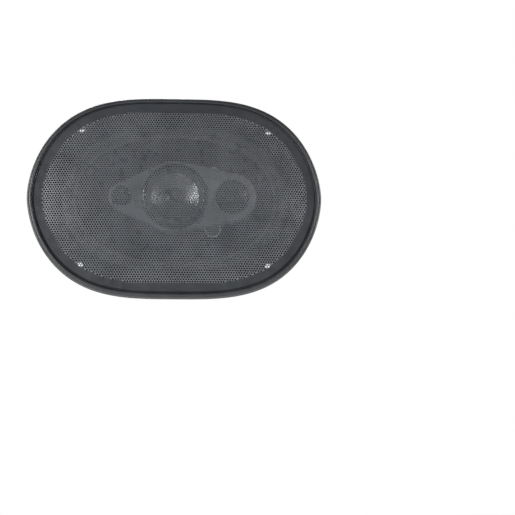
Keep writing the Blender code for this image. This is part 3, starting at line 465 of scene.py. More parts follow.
def hexagon_lattice(half_length, half_height):
    """The sheet between hexagonal holes inside an oval: its points, its faces and the holes' edges."""
    row = HOLE_PITCH * sqrt(3) / 2
    rows, columns = int(half_height / row) + 1, int(half_length / HOLE_PITCH) + 2
    spots = {}
    for j in range(-rows, rows + 1):
        for i in range(-columns, columns + 1):
            spots[(i, j)] = ((i + (j % 2) / 2) * HOLE_PITCH, j * row)
    x, z = np.array(list(spots.values())).T
    held = (np.abs(x / half_length) ** GRILLE_OVAL[0] + np.abs(z / half_height) ** GRILLE_OVAL[1]) < 1
    kept = [spot for spot, h in zip(spots, held) if h]
    first = {spot: 6 * i for i, spot in enumerate(kept)}
    turn = [radians(30 + 60 * k) for k in range(6)]
    corners = [(HOLE_RADIUS * cos(t), HOLE_RADIUS * sin(t)) for t in turn]
    points = [(spots[s][0] + cx, spots[s][1] + cz) for s in kept for cx, cz in corners]
    faces, hole_edges = [], set()
    for (i, j), a in first.items():
        odd = j % 2
        ahead = [(i + 1, j), (i + odd, j + 1), (i - 1 + odd, j + 1)]
        b = [first.get(spot) for spot in ahead]
        for k in range(3):
            if b[k] is not None:
                faces.append((a + (k - 1) % 6, b[k] + (k + 3) % 6, b[k] + (k + 2) % 6, a + k))
        for k in range(2):
            if b[k] is not None and b[k + 1] is not None:
                faces.append((a + k, b[k] + k + 2, b[k + 1] + k + 4))
        hole_edges |= {(a + k, a + (k + 1) % 6) for k in range(6)}
    return points, faces, hole_edges


def edge_counts(faces):
    counts = {}
    for face in faces:
        for a, b in zip(face, face[1:] + face[:1]):
            key = (min(a, b), max(a, b))
            counts[key] = counts.get(key, 0) + 1
    return counts


def margin_faces(points, faces, hole_edges, outline):
    """Triangles between the lattice's ragged edge and the outline, whose points are added to the list."""
    counts = edge_counts(faces)
    holes = {(min(e), max(e)) for e in hole_edges}
    open_edges = {e for e, n in counts.items() if n == 1 and e not in holes}
    border = open_edges | {e for e in holes if e not in counts}
    start = len(points)
    points += [tuple(p) for p in outline]
    rim = [(start + i, start + (i + 1) % len(outline)) for i in range(len(outline))]
    used = sorted({v for e in border for v in e} | set(range(start, len(points))))
    local = {v: i for i, v in enumerate(used)}
    edges = [(local[a], local[b]) for a, b in list(border) + rim]
    _, _, triangles, origins, *_ = delaunay_2d_cdt([Vector(points[v]) for v in used], edges, [], 0, 1e-9)
    back = [used[o[0]] for o in origins]
    triangles = [tuple(back[v] for v in t) for t in triangles]
    neighbours = {}
    for i, t in enumerate(triangles):
        for e in ((t[0], t[1]), (t[1], t[2]), (t[2], t[0])):
            neighbours.setdefault((min(e), max(e)), []).append(i)
    walls = border | {(min(e), max(e)) for e in rim}
    todo = [i for a, b in rim for i in neighbours[(min(a, b), max(a, b))]]
    found = set(todo)
    while todo:
        t = triangles[todo.pop()]
        for e in ((t[0], t[1]), (t[1], t[2]), (t[2], t[0])):
            key = (min(e), max(e))
            if key not in walls:
                new = [i for i in neighbours[key] if i not in found]
                found.update(new)
                todo += new
    return [triangles[i] for i in found]


def make_mesh():
    margin_length, margin_height = MESH_HIGH.x - MESH_MARGIN, MESH_HIGH.z - MESH_MARGIN
    points, faces, hole_edges = hexagon_lattice(margin_length, margin_height)
    outline = oval(MESH_HIGH.x, MESH_HIGH.z, 0, GRILLE_OVAL)[:, [0, 2]]
    faces += margin_faces(points, faces, hole_edges, outline)
    flat = np.array(points)
    front_y = mesh_height(flat[:, 0], flat[:, 1])
    count = len(flat)
    front = np.column_stack([flat[:, 0], front_y, flat[:, 1]])
    back = front + (0, MESH_SHEET, 0)
    in_holes = len(hole_edges)  # a point for each edge of a hole
    centres = np.repeat(back[:in_holes].reshape(-1, 6, 3).mean(1), 6, 0)
    back[:in_holes] = centres + (back[:in_holes] - centres) * HOLE_TAPER
    area = {True: [], False: []}
    for face in faces:
        (ax, az), (bx, bz), (cx, cz) = (points[v] for v in face[:3])
        area[(bx - ax) * (cz - az) - (bz - az) * (cx - ax) > 0].append(face)
    faces = area[True] + [face[::-1] for face in area[False]]
    directed = {(a, b) for face in faces for a, b in zip(face, face[1:] + face[:1])}
    walls = [(b, a, a + count, b + count) for a, b in directed if (b, a) not in directed]
    both = faces + [tuple(v + count for v in face[::-1]) for face in faces] + walls
    sheet = add("grille_mesh_sheet", np.concatenate([front, back]), both, "mesh_paint", "grille",
                ["grille_mesh"])
    # the plain margin takes the darker copy of the mesh paint: painted shade
    return paint(sheet, "mesh_margin_painted_shade", lambda face: any(v % count >= in_holes for v in face.vertices))


# ---------------------------------------------------------------- grille ring and front ring

WEB_WIDTH = 27 * MM
GRILLE_SCREW_RADIUS = 2.6 * MM
SCREW_X = 87 * MM
SCREW_Z = 63.5 * MM
SLOT_LENGTH = 8 * MM
SLOT_WIDTH = 5 * MM


def screw_spots():
    return [(x * SCREW_X, z * SCREW_Z) for x in (1, -1) for z in (1, -1)]


def slot_loop(x, z, steps=10):
    end, reach = SLOT_WIDTH / 2, (SLOT_LENGTH - SLOT_WIDTH) / 2
    turn = [pi * i / steps - pi / 2 for i in range(steps + 1)]
    right = [(x + reach + end * cos(a), z + end * sin(a)) for a in turn]
    return np.array(right + [(x - reach - end * cos(a), z - end * sin(a)) for a in turn])


def make_grille_ring():
    """The moulded ring: a rounded rim, a light lip, a groove for the mesh, and a web with the screw holes."""
    front, back, seat = RING_LOW.y, RING_HIGH.y, MESH_HIGH.y + 1.9 * MM
    web = MESH_HIGH.y + 0.3 * MM
    profile = [
        (0.7 * MM, back),
        (0, back - 3.4 * MM),
        (0, front + 5.2 * MM),
        (1.2 * MM, front + 1.6 * MM),
        (2.6 * MM, front + 0.35 * MM),
        (3.3 * MM, front),
        (4.3 * MM, front),
        (4.9 * MM, front + 0.9 * MM),
        (5.3 * MM, web - 0.4 * MM),
        (6.2 * MM, web),
    ]
    rounded = fillet(profile, 0.6 * MM, False, 3)
    outer = [oval(RING_HIGH.x - i, RING_HIGH.z - i, y, GRILLE_OVAL) for i, y in rounded]
    wide, tall = RING_HIGH.x - WEB_WIDTH, RING_HIGH.z - WEB_WIDTH
    inner = [(web, 0.0), (web + 0.4 * MM, -0.3 * MM), (seat - 0.4 * MM, -0.3 * MM), (seat, 0.0)]
    inner = [oval(wide + d, tall + d, y, GRILLE_OVAL) for y, d in inner]
    under = [(3.4 * MM, seat), (3.0 * MM, seat + 0.4 * MM), (2.6 * MM, back)]
    under = [oval(RING_HIGH.x - i, RING_HIGH.z - i, y, GRILLE_OVAL) for i, y in under]
    parts = [strip(outer),
             strip(inner),
             strip(under + outer[:1])]
    holes = [ring_outline(spot, GRILLE_SCREW_RADIUS) for spot in screw_spots()]
    for y, edge, hole_edge in ((web, outer[-1], inner[0]), (seat, under[0], inner[-1])):
        flat, faces = flat_sheet(edge[:, [0, 2]], [hole_edge[:, [0, 2]]] + holes)
        parts.append((raised(flat, y), faces))
    for spot in screw_spots():
        bore = [circle(GRILLE_SCREW_RADIUS, y, spot, 24) for y in (web, seat)]
        parts.append(strip(bore))
    return add("grille_ring_moulding", *joined(parts), "black_plastic", "grille", ["grille_ring"])


def paint(piece, finish, chosen):
    """Gives a second finish to the faces that chosen picks."""
    piece.data.materials.append(FINISHES[finish])
    for face in piece.data.polygons:
        if chosen(face):
            face.material_index = 1
    return piece


def joined(parts):
    """One list of points and faces from several."""
    points, faces, start = [], [], 0
    for some, made in parts:
        points.append(np.asarray(some, float))
        faces += [tuple(int(v) + start for v in face) for face in made]
        start += len(some)
    return np.concatenate(points), faces


FLANGE_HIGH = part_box("basket")[1]
EAR_TOP = (86 * MM, 73 * MM)
EAR_SIDE = (93.5 * MM, 63 * MM)
EAR_FOOT = (110.5 * MM, 30 * MM)
EAR_ROUNDING = 3 * MM


def arc_through(start, peak, end, steps):
    """Points of the circular arc from start through peak to end, without its end point."""
    (ax, ay), (bx, by), (cx, cy) = start, peak, end
    d = 2 * (ax * (by - cy) + bx * (cy - ay) + cx * (ay - by))
    a2, b2, c2 = ax * ax + ay * ay, bx * bx + by * by, cx * cx + cy * cy
    ux = (a2 * (by - cy) + b2 * (cy - ay) + c2 * (ay - by)) / d
    uy = (a2 * (cx - bx) + b2 * (ax - cx) + c2 * (bx - ax)) / d
    first, last = atan2(ay - uy, ax - ux), atan2(cy - uy, cx - ux)
    radius = hypot(ax - ux, ay - uy)
    return [(ux + radius * cos(a), uy + radius * sin(a)) for a in np.linspace(first, last, steps + 1)[:-1]]


def flange_loop():
    """The flange's outline: arcs at the ends and sides, and an ear at each screw with rounded corners."""
    end = arc_through((EAR_FOOT[0], -EAR_FOOT[1]), (FLANGE_HIGH.x, 0), EAR_FOOT, 24)
    top = arc_through(EAR_TOP, (0, FLANGE_HIGH.z), (-EAR_TOP[0], EAR_TOP[1]), 48)
    half = end + [EAR_FOOT, EAR_SIDE] + top + [(-EAR_TOP[0], EAR_TOP[1]), (-EAR_SIDE[0], EAR_SIDE[1])]
    return np.array(fillet(half + [(-x, -z) for x, z in half], EAR_ROUNDING, True, 4))


def flange_reach():
    """Distance from the centre to the flange's outline in each of the ANGLES."""
    loop = flange_loop()
    turn, reach = np.arctan2(loop[:, 1], loop[:, 0]) % (2 * pi), np.hypot(loop[:, 0], loop[:, 1])
    order = np.argsort(turn)
    return np.interp(ANGLES, turn[order], reach[order], period=2 * pi)


def make_front_ring():
    """The moulded ring in front of the flange, with its outline, an oval mouth and the screw slots."""
    low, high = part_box("front_ring")
    reach = flange_reach() - 0.4 * MM
    mouth_length, mouth_height = 107.5 * MM, 73 * MM
    back = -SHEET - 0.3 * MM

    def rim(inset, y):
        return around(ANGLES, reach - inset, y)

    def mouth(profile):
        return [oval(mouth_length + grow * MM, mouth_height + grow * MM, y) for grow, y in profile]

    outside = [rim(0, back), rim(0, low.y + 1.2 * MM), rim(0.35 * MM, low.y + 0.35 * MM),
               rim(1.2 * MM, low.y)]
    throat = mouth(((3.4, low.y), (2.2, low.y + 0.25 * MM), (1.2, low.y + 0.8 * MM), (0.4, low.y + 1.7 * MM),
                    (0, low.y + 3 * MM), (0, back), (3.0, high.y - 0.2 * MM), (3.2, high.y), (4.6, high.y),
                    (4.6, back)))
    parts = [strip(rings) for rings in (outside, throat)]
    slots = [slot_loop(x, z) for x, z in screw_spots()]
    for y, edge, hole_edge in ((low.y, outside[-1], throat[0]), (back, outside[0], throat[-1])):
        flat, faces = flat_sheet(edge[:, [0, 2]], [hole_edge[:, [0, 2]]] + slots)
        parts.append((raised(flat, y), faces))
    for slot in slots:
        bore = [raised(slot, y) for y in (low.y, back)]
        parts.append(strip(bore))
    return add("front_ring_moulding", *joined(parts), "black_plastic", "frame", ["front_ring"])


# ---------------------------------------------------------------- basket

WALL_HALF_LENGTH = 113 * MM
WALL_HALF_HEIGHT = 78.5 * MM
WALL_STEP = 3 * MM
LEDGE_Y = 4.6 * MM
FOOT_Y = 13.2 * MM
SHOULDER_Y = 40.5 * MM
SHOULDER_RADIUS = 52.5 * MM
SHOULDER_SLOPE = 2.5 * MM
SPIDER_LEDGE_RADIUS = 46 * MM
SEAT_Y = 46.4 * MM
SEAT_HOLE = 20 * MM
TAB_END = 65.5 * MM
TAB_HALF_WIDTH = 7 * MM
TAB_HOLE = 4 * MM  # side of the square hole in the free tab
RIVET_X = (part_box("terminal_rivet")[0].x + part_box("terminal_rivet")[1].x) / 2
RIVET_RADIUS = 1.6 * MM


def rivet_hole():
    return ring_outline((RIVET_X, 0), RIVET_RADIUS + 0.3 * MM)


def cone_share(x, z):
    """0 at the basket cone's foot and 1 at its top, for points between them."""
    foot_length, foot_height = WALL_HALF_LENGTH - 2 * WALL_STEP, WALL_HALF_HEIGHT - 2 * WALL_STEP
    top = SHOULDER_RADIUS + SHOULDER_SLOPE
    low, high = np.zeros_like(x), np.ones_like(x)
    for _ in range(36):
        t = (low + high) / 2
        a, b = foot_length + (top - foot_length) * t, foot_height + (top - foot_height) * t
        p, q = OVAL[0] + (2 - OVAL[0]) * t, OVAL[1] + (2 - OVAL[1]) * t
        within = np.abs(x / a) ** p + np.abs(z / b) ** q < 1
        low, high = np.where(within, t, low), np.where(within, high, t)
    return low


def smooth(value, start, end):
    t = np.clip((value - start) / (end - start), 0, 1)
    return t * t * (3 - 2 * t)


def window(radius, *corners):
    """A window with rounded corners, given in millimetres."""
    return rounded_outline([(x * MM, z * MM) for x, z in corners], radius * MM)


def window_loops():
    """The openings in the basket's cone."""
    near = window(2.6, (17.5, 51.5), (27, 49.5), (30, 66), (20, 68))
    far = window(2.6, (36.5, 42.5), (46, 36.5), (59, 54.5), (48.5, 60.5))
    corner = window(2.4, (70, 34), (86, 15.5), (96.5, 20.5), (82, 43))
    rim = window(1.4, (92, -9), (101.5, -11), (101.5, 11), (92, 9))
    turn = [pi * i / 24 - pi / 2 for i in range(25)]
    arc = [((58 + 27 * cos(a)) * MM, 25 * sin(a) * MM) for a in turn]
    half = TAB_HALF_WIDTH
    notch = [(53.5 * MM, 17.5 * MM), (56 * MM, half + 1.6 * MM), (57 * MM, half), (TAB_END, half)]
    end = rounded_outline(arc + notch + [(x, -z) for x, z in notch[::-1]], 0.9 * MM, 3)
    loops = [mirrored(loop, x, z) for loop in (near, far, corner) for x in (1, -1) for z in (1, -1)]
    return loops + [mirrored(loop, x, 1) for loop in (rim, end) for x in (1, -1)]


def panel_height(x, z):
    """Y of the cone panels' middle surface, with a recess in each long side and the flat end tabs."""
    y = FOOT_Y + (SHOULDER_Y - 2 * MM - FOOT_Y) * cone_share(x, z)
    radius = np.hypot(x, z)
    top = SHOULDER_RADIUS + SHOULDER_SLOPE
    y = np.where(radius < top, SHOULDER_Y - 2 * MM * (radius - SHOULDER_RADIUS) / SHOULDER_SLOPE, y)
    across = 1 - smooth(np.abs(x), 4 * MM, 7.4 * MM)
    along = smooth(np.abs(z), 55 * MM, 59 * MM) * (1 - smooth(np.abs(z), 66 * MM, 70 * MM))
    y = y - 1.8 * MM * across * along
    tab = 1 - smooth(np.abs(z), TAB_HALF_WIDTH, TAB_HALF_WIDTH + 1.6 * MM)
    tab *= smooth(np.abs(x), 50 * MM, 52 * MM)
    tab *= 1 - smooth(np.abs(x), TAB_END, TAB_END + MM)
    return y + (SHOULDER_Y - y) * tab


def offset_outline(loop, distance):
    """An outline's points moved along its normals, outwards."""
    ahead, back = np.roll(loop, -1, 0), np.roll(loop, 1, 0)
    along = ahead - back
    along /= np.maximum(np.hypot(along[:, 0], along[:, 1]), 1e-9)[:, None]
    normal = np.column_stack([along[:, 1], -along[:, 0]])
    area = (loop[:, 0] * ahead[:, 1] - ahead[:, 0] * loop[:, 1]).sum()
    return loop + normal * distance * (1 if area > 0 else -1)


def make_basket():
    """Pressed steel: a flange, a stepped wall, a cone with windows, and a round shoulder."""
    half = SHEET / 2
    wall = [(0.0, -half), (0.0, LEDGE_Y - half), (WALL_STEP, LEDGE_Y), (WALL_STEP, FOOT_Y - half),
            (2 * WALL_STEP, FOOT_Y)]
    wall = fillet([(-1.2 * MM, -half)] + wall, 0.9 * MM, False, 4)
    wall_rings = [oval(WALL_HALF_LENGTH - i, WALL_HALF_HEIGHT - i, y) for i, y in wall]
    parts = [strip(wall_rings)]

    slots = [slot_loop(x, z) for x, z in screw_spots()]
    flat, faces = flat_sheet(flange_loop(), [wall_rings[0][:, [0, 2]]] + slots)
    parts.append((raised(flat, -half), faces))

    windows = window_loops()
    signs = ((-1, -1), (1, -1), (1, 1), (-1, 1))
    square = [(-RIVET_X + x * TAB_HOLE / 2, z * TAB_HOLE / 2) for x, z in signs]
    tab_holes = [rivet_hole(), rounded_outline(square, 0.4 * MM, 2)]
    top = np.column_stack([SHOULDER_RADIUS * np.cos(ANGLES), SHOULDER_RADIUS * np.sin(ANGLES)])
    foot = wall_rings[-1][:, [0, 2]]
    filling = [offset_outline(loop, d * MM) for loop in windows for d in (0.7, 1.5)]
    for t in np.linspace(0.05, 0.95, 14):
        ring = foot + (top - foot) * t
        filling.append(ring[(np.abs(ring[:, 0]) > 9 * MM)])
    spots = [(x, z) for x in np.arange(-8.4, 8.5, 0.6) * MM for z in np.arange(54, 72, 0.6) * MM]
    filling += [np.array(spots), mirrored(spots, 1, -1)]
    filling = np.concatenate(filling)
    clear = inside(filling, foot * 0.997) & ~inside(filling, top * 1.004)
    for loop in windows + tab_holes:
        clear &= ~inside(filling, offset_outline(loop, 0.35 * MM))
    flat, faces = flat_sheet(foot, [top] + windows + tab_holes, filling[clear])
    y = panel_height(flat[:, 0], flat[:, 1])
    for loop in windows:
        gap = np.min(np.hypot(flat[:, :1] - loop[:, 0], flat[:, 1:] - loop[:, 1]), 1)
        tab = (np.abs(flat[:, 1]) < TAB_HALF_WIDTH + 2 * MM) & (np.abs(flat[:, 0]) < TAB_END + MM)
        y = y - np.where(tab, 0, 0.35 * MM * (1 - np.clip(gap / (1.5 * MM), 0, 1)) ** 2)
    on_foot = np.isin(np.arange(len(flat)), np.arange(len(foot)))
    y[on_foot] = FOOT_Y
    y[len(foot):len(foot) + len(top)] = SHOULDER_Y
    parts.append((raised(flat, y), faces))

    shoulder = fillet([(SHOULDER_RADIUS, SHOULDER_Y), (SPIDER_LEDGE_RADIUS, SHOULDER_Y),
                       (SPIDER_LEDGE_RADIUS - 1.5 * MM, SEAT_Y), (SEAT_HOLE, SEAT_Y)], 0.8 * MM, False, 4)
    parts.append(strip([around(ANGLES, r, y) for r, y in shoulder]))

    basket = add("basket_pressing", *joined(parts), "basket_paint", "frame", ["basket"], angle=50)
    thickness = basket.modifiers.new("sheet", "SOLIDIFY")
    thickness.thickness = SHEET
    thickness.offset = 0
    thickness.use_even_offset = True
    soften = basket.modifiers.new("sheared edges", "BEVEL")
    soften.width = 0.22 * MM
    soften.segments = 2
    soften.limit_method = "ANGLE"
    soften.angle_limit = radians(60)
    return settle(basket)


# ---------------------------------------------------------------- motor and its rubber boot

BOOT_LOW, BOOT_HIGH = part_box("magnet_boot")
LABEL_LOW, LABEL_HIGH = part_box("rear_label")
PANEL_ANGLE = radians(25)  # half the angle of the smooth panel on each long side
GROOVE_ANGLE = radians(7.5)
GROOVE_WIDTH = 1.5 * MM
GROOVE_DEPTH = 0.75 * MM
PIP_ANGLES = (radians(27), radians(35.5))


def make_boot():
    """The rubber cover of the magnet, grooved all round but for a smooth panel on each long side."""
    segments = 1080
    a = np.linspace(0, 2 * pi, segments, endpoint=False)
    back, front, radius = BOOT_HIGH.y, BOOT_LOW.y, BOOT_HIGH.x
    from_panel = np.minimum(np.abs((a - pi / 2 + pi) % (2 * pi) - pi),
                            np.abs((a + pi / 2 + pi) % (2 * pi) - pi))
    nearest = np.round((from_panel - PANEL_ANGLE) / GROOVE_ANGLE)
    gap = np.abs(from_panel - PANEL_ANGLE - nearest * GROOVE_ANGLE) * radius
    groove = np.where(nearest >= 0, 1 - smooth(gap, GROOVE_WIDTH * 0.25, GROOVE_WIDTH * 0.75), 0)
    taper = 0.6 * MM
    side = []
    spans = ((front + 1.5 * MM, front + 5 * MM, 6), (front + 6 * MM, back - 9 * MM, 8),
             (back - 8.4 * MM, back - 3.2 * MM, 14))
    for y in np.concatenate([np.linspace(*span) for span in spans]):
        begun, ended = smooth(y, front + 2.2 * MM, front + 4 * MM), smooth(y, back - 6 * MM, back - 4.2 * MM)
        depth = GROOVE_DEPTH * begun * (1 - ended)
        pips = np.zeros(segments)
        for pip in PIP_ANGLES:
            away = np.hypot((from_panel - pip) * radius, y - (back - 5.4 * MM))
            pips += 0.55 * MM * (1 - smooth(away, 0.3 * MM, 1.2 * MM))
        reach = radius - taper * (back - y) / (back - front) - depth * groove + pips
        reach = np.minimum(reach, radius)
        side.append(around(a, reach, y))

    def plain(r, y):
        return around(a, r, y)

    lip = radius - taper
    start = [plain(lip - 1.3 * MM, front), plain(lip - 0.7 * MM, front),
             plain(lip - 0.2 * MM, front + 0.6 * MM)]
    edge = 3 * MM
    angles = np.linspace(0.12, pi / 2, 7)
    turn = [plain(radius - edge + edge * cos(t), back - edge + edge * sin(t)) for t in angles]
    recess = LABEL_HIGH.x + 0.6 * MM
    face = [plain(recess + 0.5 * MM, back), plain(recess, back - 0.25 * MM),
            plain(LABEL_HIGH.x - 2 * MM, back - 0.3 * MM), plain(0, back - 0.3 * MM)]
    inner = radius - 2.7 * MM
    inside_rows = [plain(0, back - 2.2 * MM), plain(inner, back - 2.2 * MM), plain(inner, front + MM)]
    rings = inside_rows + start + side + turn + face
    return loft("magnet_boot_cover", rings, "boot_rubber", "frame", ["magnet_boot"], closed=False)


def make_label():
    """A plain black film with two copper arcs, above and below. It carries no lettering."""
    radii = [0, 20, 40, 44.6, 47.2, 49.4, 49.8, 50]
    front, back = LABEL_LOW.y, LABEL_HIGH.y
    rings = [circle(0, front), circle(LABEL_HIGH.x, front), circle(LABEL_HIGH.x, back - 0.12 * MM)]
    rings += [circle(LABEL_HIGH.x * r / 50, back) for r in radii[-2::-1]]
    label = loft("rear_label_print", rings, "label_film", "frame", ["rear_label"], closed=False,
                 slot="label_print")
    arc_half = radians(52)
    inner, outer = 44.6 * MM, 47.2 * MM

    def on_arc(face):
        x, y, z = face.center
        return y > back - 0.05 * MM and inner < hypot(x, z) < outer and atan2(abs(x), abs(z)) < arc_half

    return paint(label, "label_copper", on_arc)


def restyle(node, finish):
    """A hidden CAD node keeps its shape and takes its own material."""
    obj = frame["nodes"][node]
    obj.data.materials.clear()
    obj.data.materials.append(FINISHES[finish])


# ---------------------------------------------------------------- cone, coil and suspension

FORMER_LOW, FORMER_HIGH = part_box("voice_coil_former")
CONE_LOW, CONE_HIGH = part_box("woofer_cone")
PAPER = 0.8 * MM


def cone_ring(t, lift=0.0):
    """A ring of the woofer cone's front, from the neck at 0 to the rim at 1."""
    neck = FORMER_HIGH.x + 0.6 * MM
    neck_y, rim_y = CONE_HIGH.y - PAPER, CONE_LOW.y
    exponents = tuple(2 + (p - 2) * t for p in OVAL)
    y = neck_y + (rim_y - neck_y) * t ** 0.85
    return oval(neck + (CONE_HIGH.x - neck) * t, neck + (CONE_HIGH.z - neck) * t, y + lift, exponents)


def make_cone():
    shares = np.linspace(0, 1, 30)
    front = [cone_ring(t, 0.12 * MM * (1 - cos(t * 2 * pi * 7)) / 2) for t in shares]
    back = [cone_ring(t, PAPER) for t in shares]
    return loft("woofer_cone_paper", front + back[::-1], "cone_paper", "woofer", ["woofer_cone"])


def weigh(piece, weight_of):
    """Bakes a piece's transform and works out each point's share of the motion, weight_of(x, y, z). The
    shares are not used, so nothing bends.
    """
    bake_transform(piece)
    points = np.array([tuple(v.co) for v in piece.data.vertices])
    shares = np.array([weight_of(*p) for p in points], np.float32)


def oval_scale(x, z, half_length, half_height):
    return float(oval_share(np.array([x]), np.array([z]), half_length, half_height, OVAL)[0])


def make_surround():
    """A half roll between the cone's rim and the basket's ledge, with a flat edge on each side."""
    low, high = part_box("surround")
    thickness = 0.7 * MM
    land, height = high.y - thickness, high.y - thickness - low.y
    start, width, flat = 1.2 * MM, 11 * MM, 2 * MM
    profile = [(-3 * MM, land), (0, land), (start - 0.6 * MM, land)]
    for i in range(1, 16):
        a = pi * i / 16
        profile.append((start + width * (1 - cos(a)) / 2, land - height * sin(a)))
    profile += [(start + width + 0.6 * MM, land), (start + width + flat, land)]
    rings = [oval(CONE_HIGH.x + d, CONE_HIGH.z + d, y) for d, y in profile]
    under = [oval(CONE_HIGH.x + d, CONE_HIGH.z + d, y + thickness) for d, y in profile]
    roll = loft("surround_roll", rings + under[::-1], "surround_rubber", None, ["surround"])
    inner, outer = start, start + width

    def share(x, y, z):
        scale = oval_scale(x, z, CONE_HIGH.x, CONE_HIGH.z)
        reach = hypot(x, z) * (1 - 1 / scale)
        t = min(max((reach - inner) / (outer - inner), 0), 1)
        return 1 - t * t * (3 - 2 * t)

    weigh(roll, share)
    return roll


def make_spider():
    """A corrugated cloth disc from the voice coil former to its ledge."""
    low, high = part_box("spider")
    thickness = 0.5 * MM
    inner, outer = FORMER_HIGH.x + 0.6 * MM, high.x
    middle_y, height = (low.y + high.y) / 2, 0.9 * MM
    start, end, waves = inner + 2.5 * MM, SPIDER_LEDGE_RADIUS - MM, 6
    profile = [(inner, middle_y), (inner + 1.2 * MM, middle_y)]
    for t in np.linspace(0, 1, waves * 8 + 1):
        profile.append((start + (end - start) * t, middle_y - height * sin(2 * pi * waves * t)))
    profile.append((outer, middle_y))
    rings = [circle(r, y - thickness / 2, segments=160) for r, y in profile]
    rings += [circle(r, y + thickness / 2, segments=160) for r, y in profile[::-1]]
    disc = loft("spider_cloth_disc", rings, "spider_cloth", None, ["spider"])
    weigh(disc, lambda x, y, z: 1 - (hypot(x, z) - inner) / (end - inner))
    return disc


def make_voice_coil():
    low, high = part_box("voice_coil")
    wall = 0.4 * MM
    radius = FORMER_HIGH.x
    bottom, top = FORMER_LOW.y, FORMER_HIGH.y
    tube = [(radius - wall, bottom), (radius, bottom), (radius, top), (radius - wall, top)]
    turned("voice_coil_former_tube", tube, "coil_former", "woofer", ["voice_coil_former"])
    turns = int((high.y - low.y) / (0.3 * MM))
    wire = (high.y - low.y) / turns
    outline = [(radius + 0.3 * MM, high.y), (radius + 0.3 * MM, low.y)]
    for i in range(turns):
        outline += [(high.x - 0.08 * MM, low.y + i * wire), (high.x, low.y + (i + 0.5) * wire)]
    outline.append((high.x - 0.08 * MM, high.y))
    rings = [circle(r, y) for r, y in outline]
    loft("voice_coil_winding", rings, "copper_wire", "woofer", ["voice_coil"])


def cone_back_y(x, z):
    """Y of the woofer cone's rear face at (x, z)."""
    neck = FORMER_HIGH.x + 0.6 * MM
    low, high = 0.0, 1.0
    for _ in range(40):
        t = (low + high) / 2
        within = (abs(x / (neck + (CONE_HIGH.x - neck) * t)) ** (2 + (OVAL[0] - 2) * t)
                  + abs(z / (neck + (CONE_HIGH.z - neck) * t)) ** (2 + (OVAL[1] - 2) * t)) < 1
        low, high = (low, t) if within else (t, high)
    neck_y, rim_y = CONE_HIGH.y - PAPER, CONE_LOW.y
    return neck_y + (rim_y - neck_y) * low ** 0.85 + PAPER


def make_lead_anchors():
    """Raised round patches where the leads come through the cone."""
    for word in ("upper", "lower"):
        node = f"lead_anchor_{word}"
        low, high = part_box(node)
        centre = ((low.x + high.x) / 2, (low.z + high.z) / 2)
        radius = (high.x - low.x) / 2
        rows = [(1, 0.3), (1, 0.5), (0.97, 0.8), (0.9, 1.15), (0.82, 1.2), (0.72, 0.95), (0.5, 0.8),
                (0.3, 1.1), (0, 1.25)]
        rings = []
        for share, lift in rows:
            flat = circle(radius * share, 0, centre, 72)
            flat[:, 1] = [cone_back_y(x, z) - PAPER - lift * MM for x, _, z in flat]
            rings.append(flat)
        patch = loft(f"{node}_patch", rings, "glue", "woofer", [node], closed=False)
        cap_underside(f"{node}_patch")

        # the raised rim of each patch is painted light grey as its highlight
        def on_bead_highlight(face):
            reach = hypot(face.center.x - centre[0], face.center.z - centre[1])
            return 0.8 * radius < reach < 0.99 * radius

        paint(patch, "glue_bead_painted_highlight", on_bead_highlight)


def cap_underside(name):
    """Closes an open piece with one face over each hole."""
    mesh = bpy.data.objects[name].data
    bm = bmesh.new()
    bm.from_mesh(mesh)
    bmesh.ops.holes_fill(bm, edges=bm.edges, sides=0)
    bmesh.ops.recalc_face_normals(bm, faces=bm.faces)
    bm.to_mesh(mesh)
    bm.free()


# ---------------------------------------------------------------- pod and its drivers

POD_LOW, POD_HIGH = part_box("tweeter_pod")
MID_RADIUS = POD_HIGH.z
TWEETER_LOW, TWEETER_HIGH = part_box("tweeter_housing")
SUPER_LOW, SUPER_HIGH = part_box("supertweeter_housing")
MID_LOW, MID_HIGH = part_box("midrange_frame")


def middle_x(low, high):
    return (low.x + high.x) / 2


def hull_loop(circles, count):
    """The convex outline round circles of (x, radius) on the X axis, at even angles from the middle."""
    turn = np.linspace(0, 2 * pi, 720, endpoint=False)
    cloud = np.concatenate([np.column_stack([x + r * np.cos(turn), r * np.sin(turn)]) for x, r in circles])
    support = np.array([np.argmax(cloud @ (cos(a), sin(a))) for a in turn])
    hull = cloud[support]
    angle, reach = np.arctan2(hull[:, 1], hull[:, 0]), np.hypot(hull[:, 0], hull[:, 1])
    order = np.argsort(angle)
    spots = np.linspace(-pi, pi, count, endpoint=False)
    hull = hull[order]
    x = np.interp(spots, angle[order], hull[:, 0], period=2 * pi)
    z = np.interp(spots, angle[order], hull[:, 1], period=2 * pi)
    return np.column_stack([x, z])


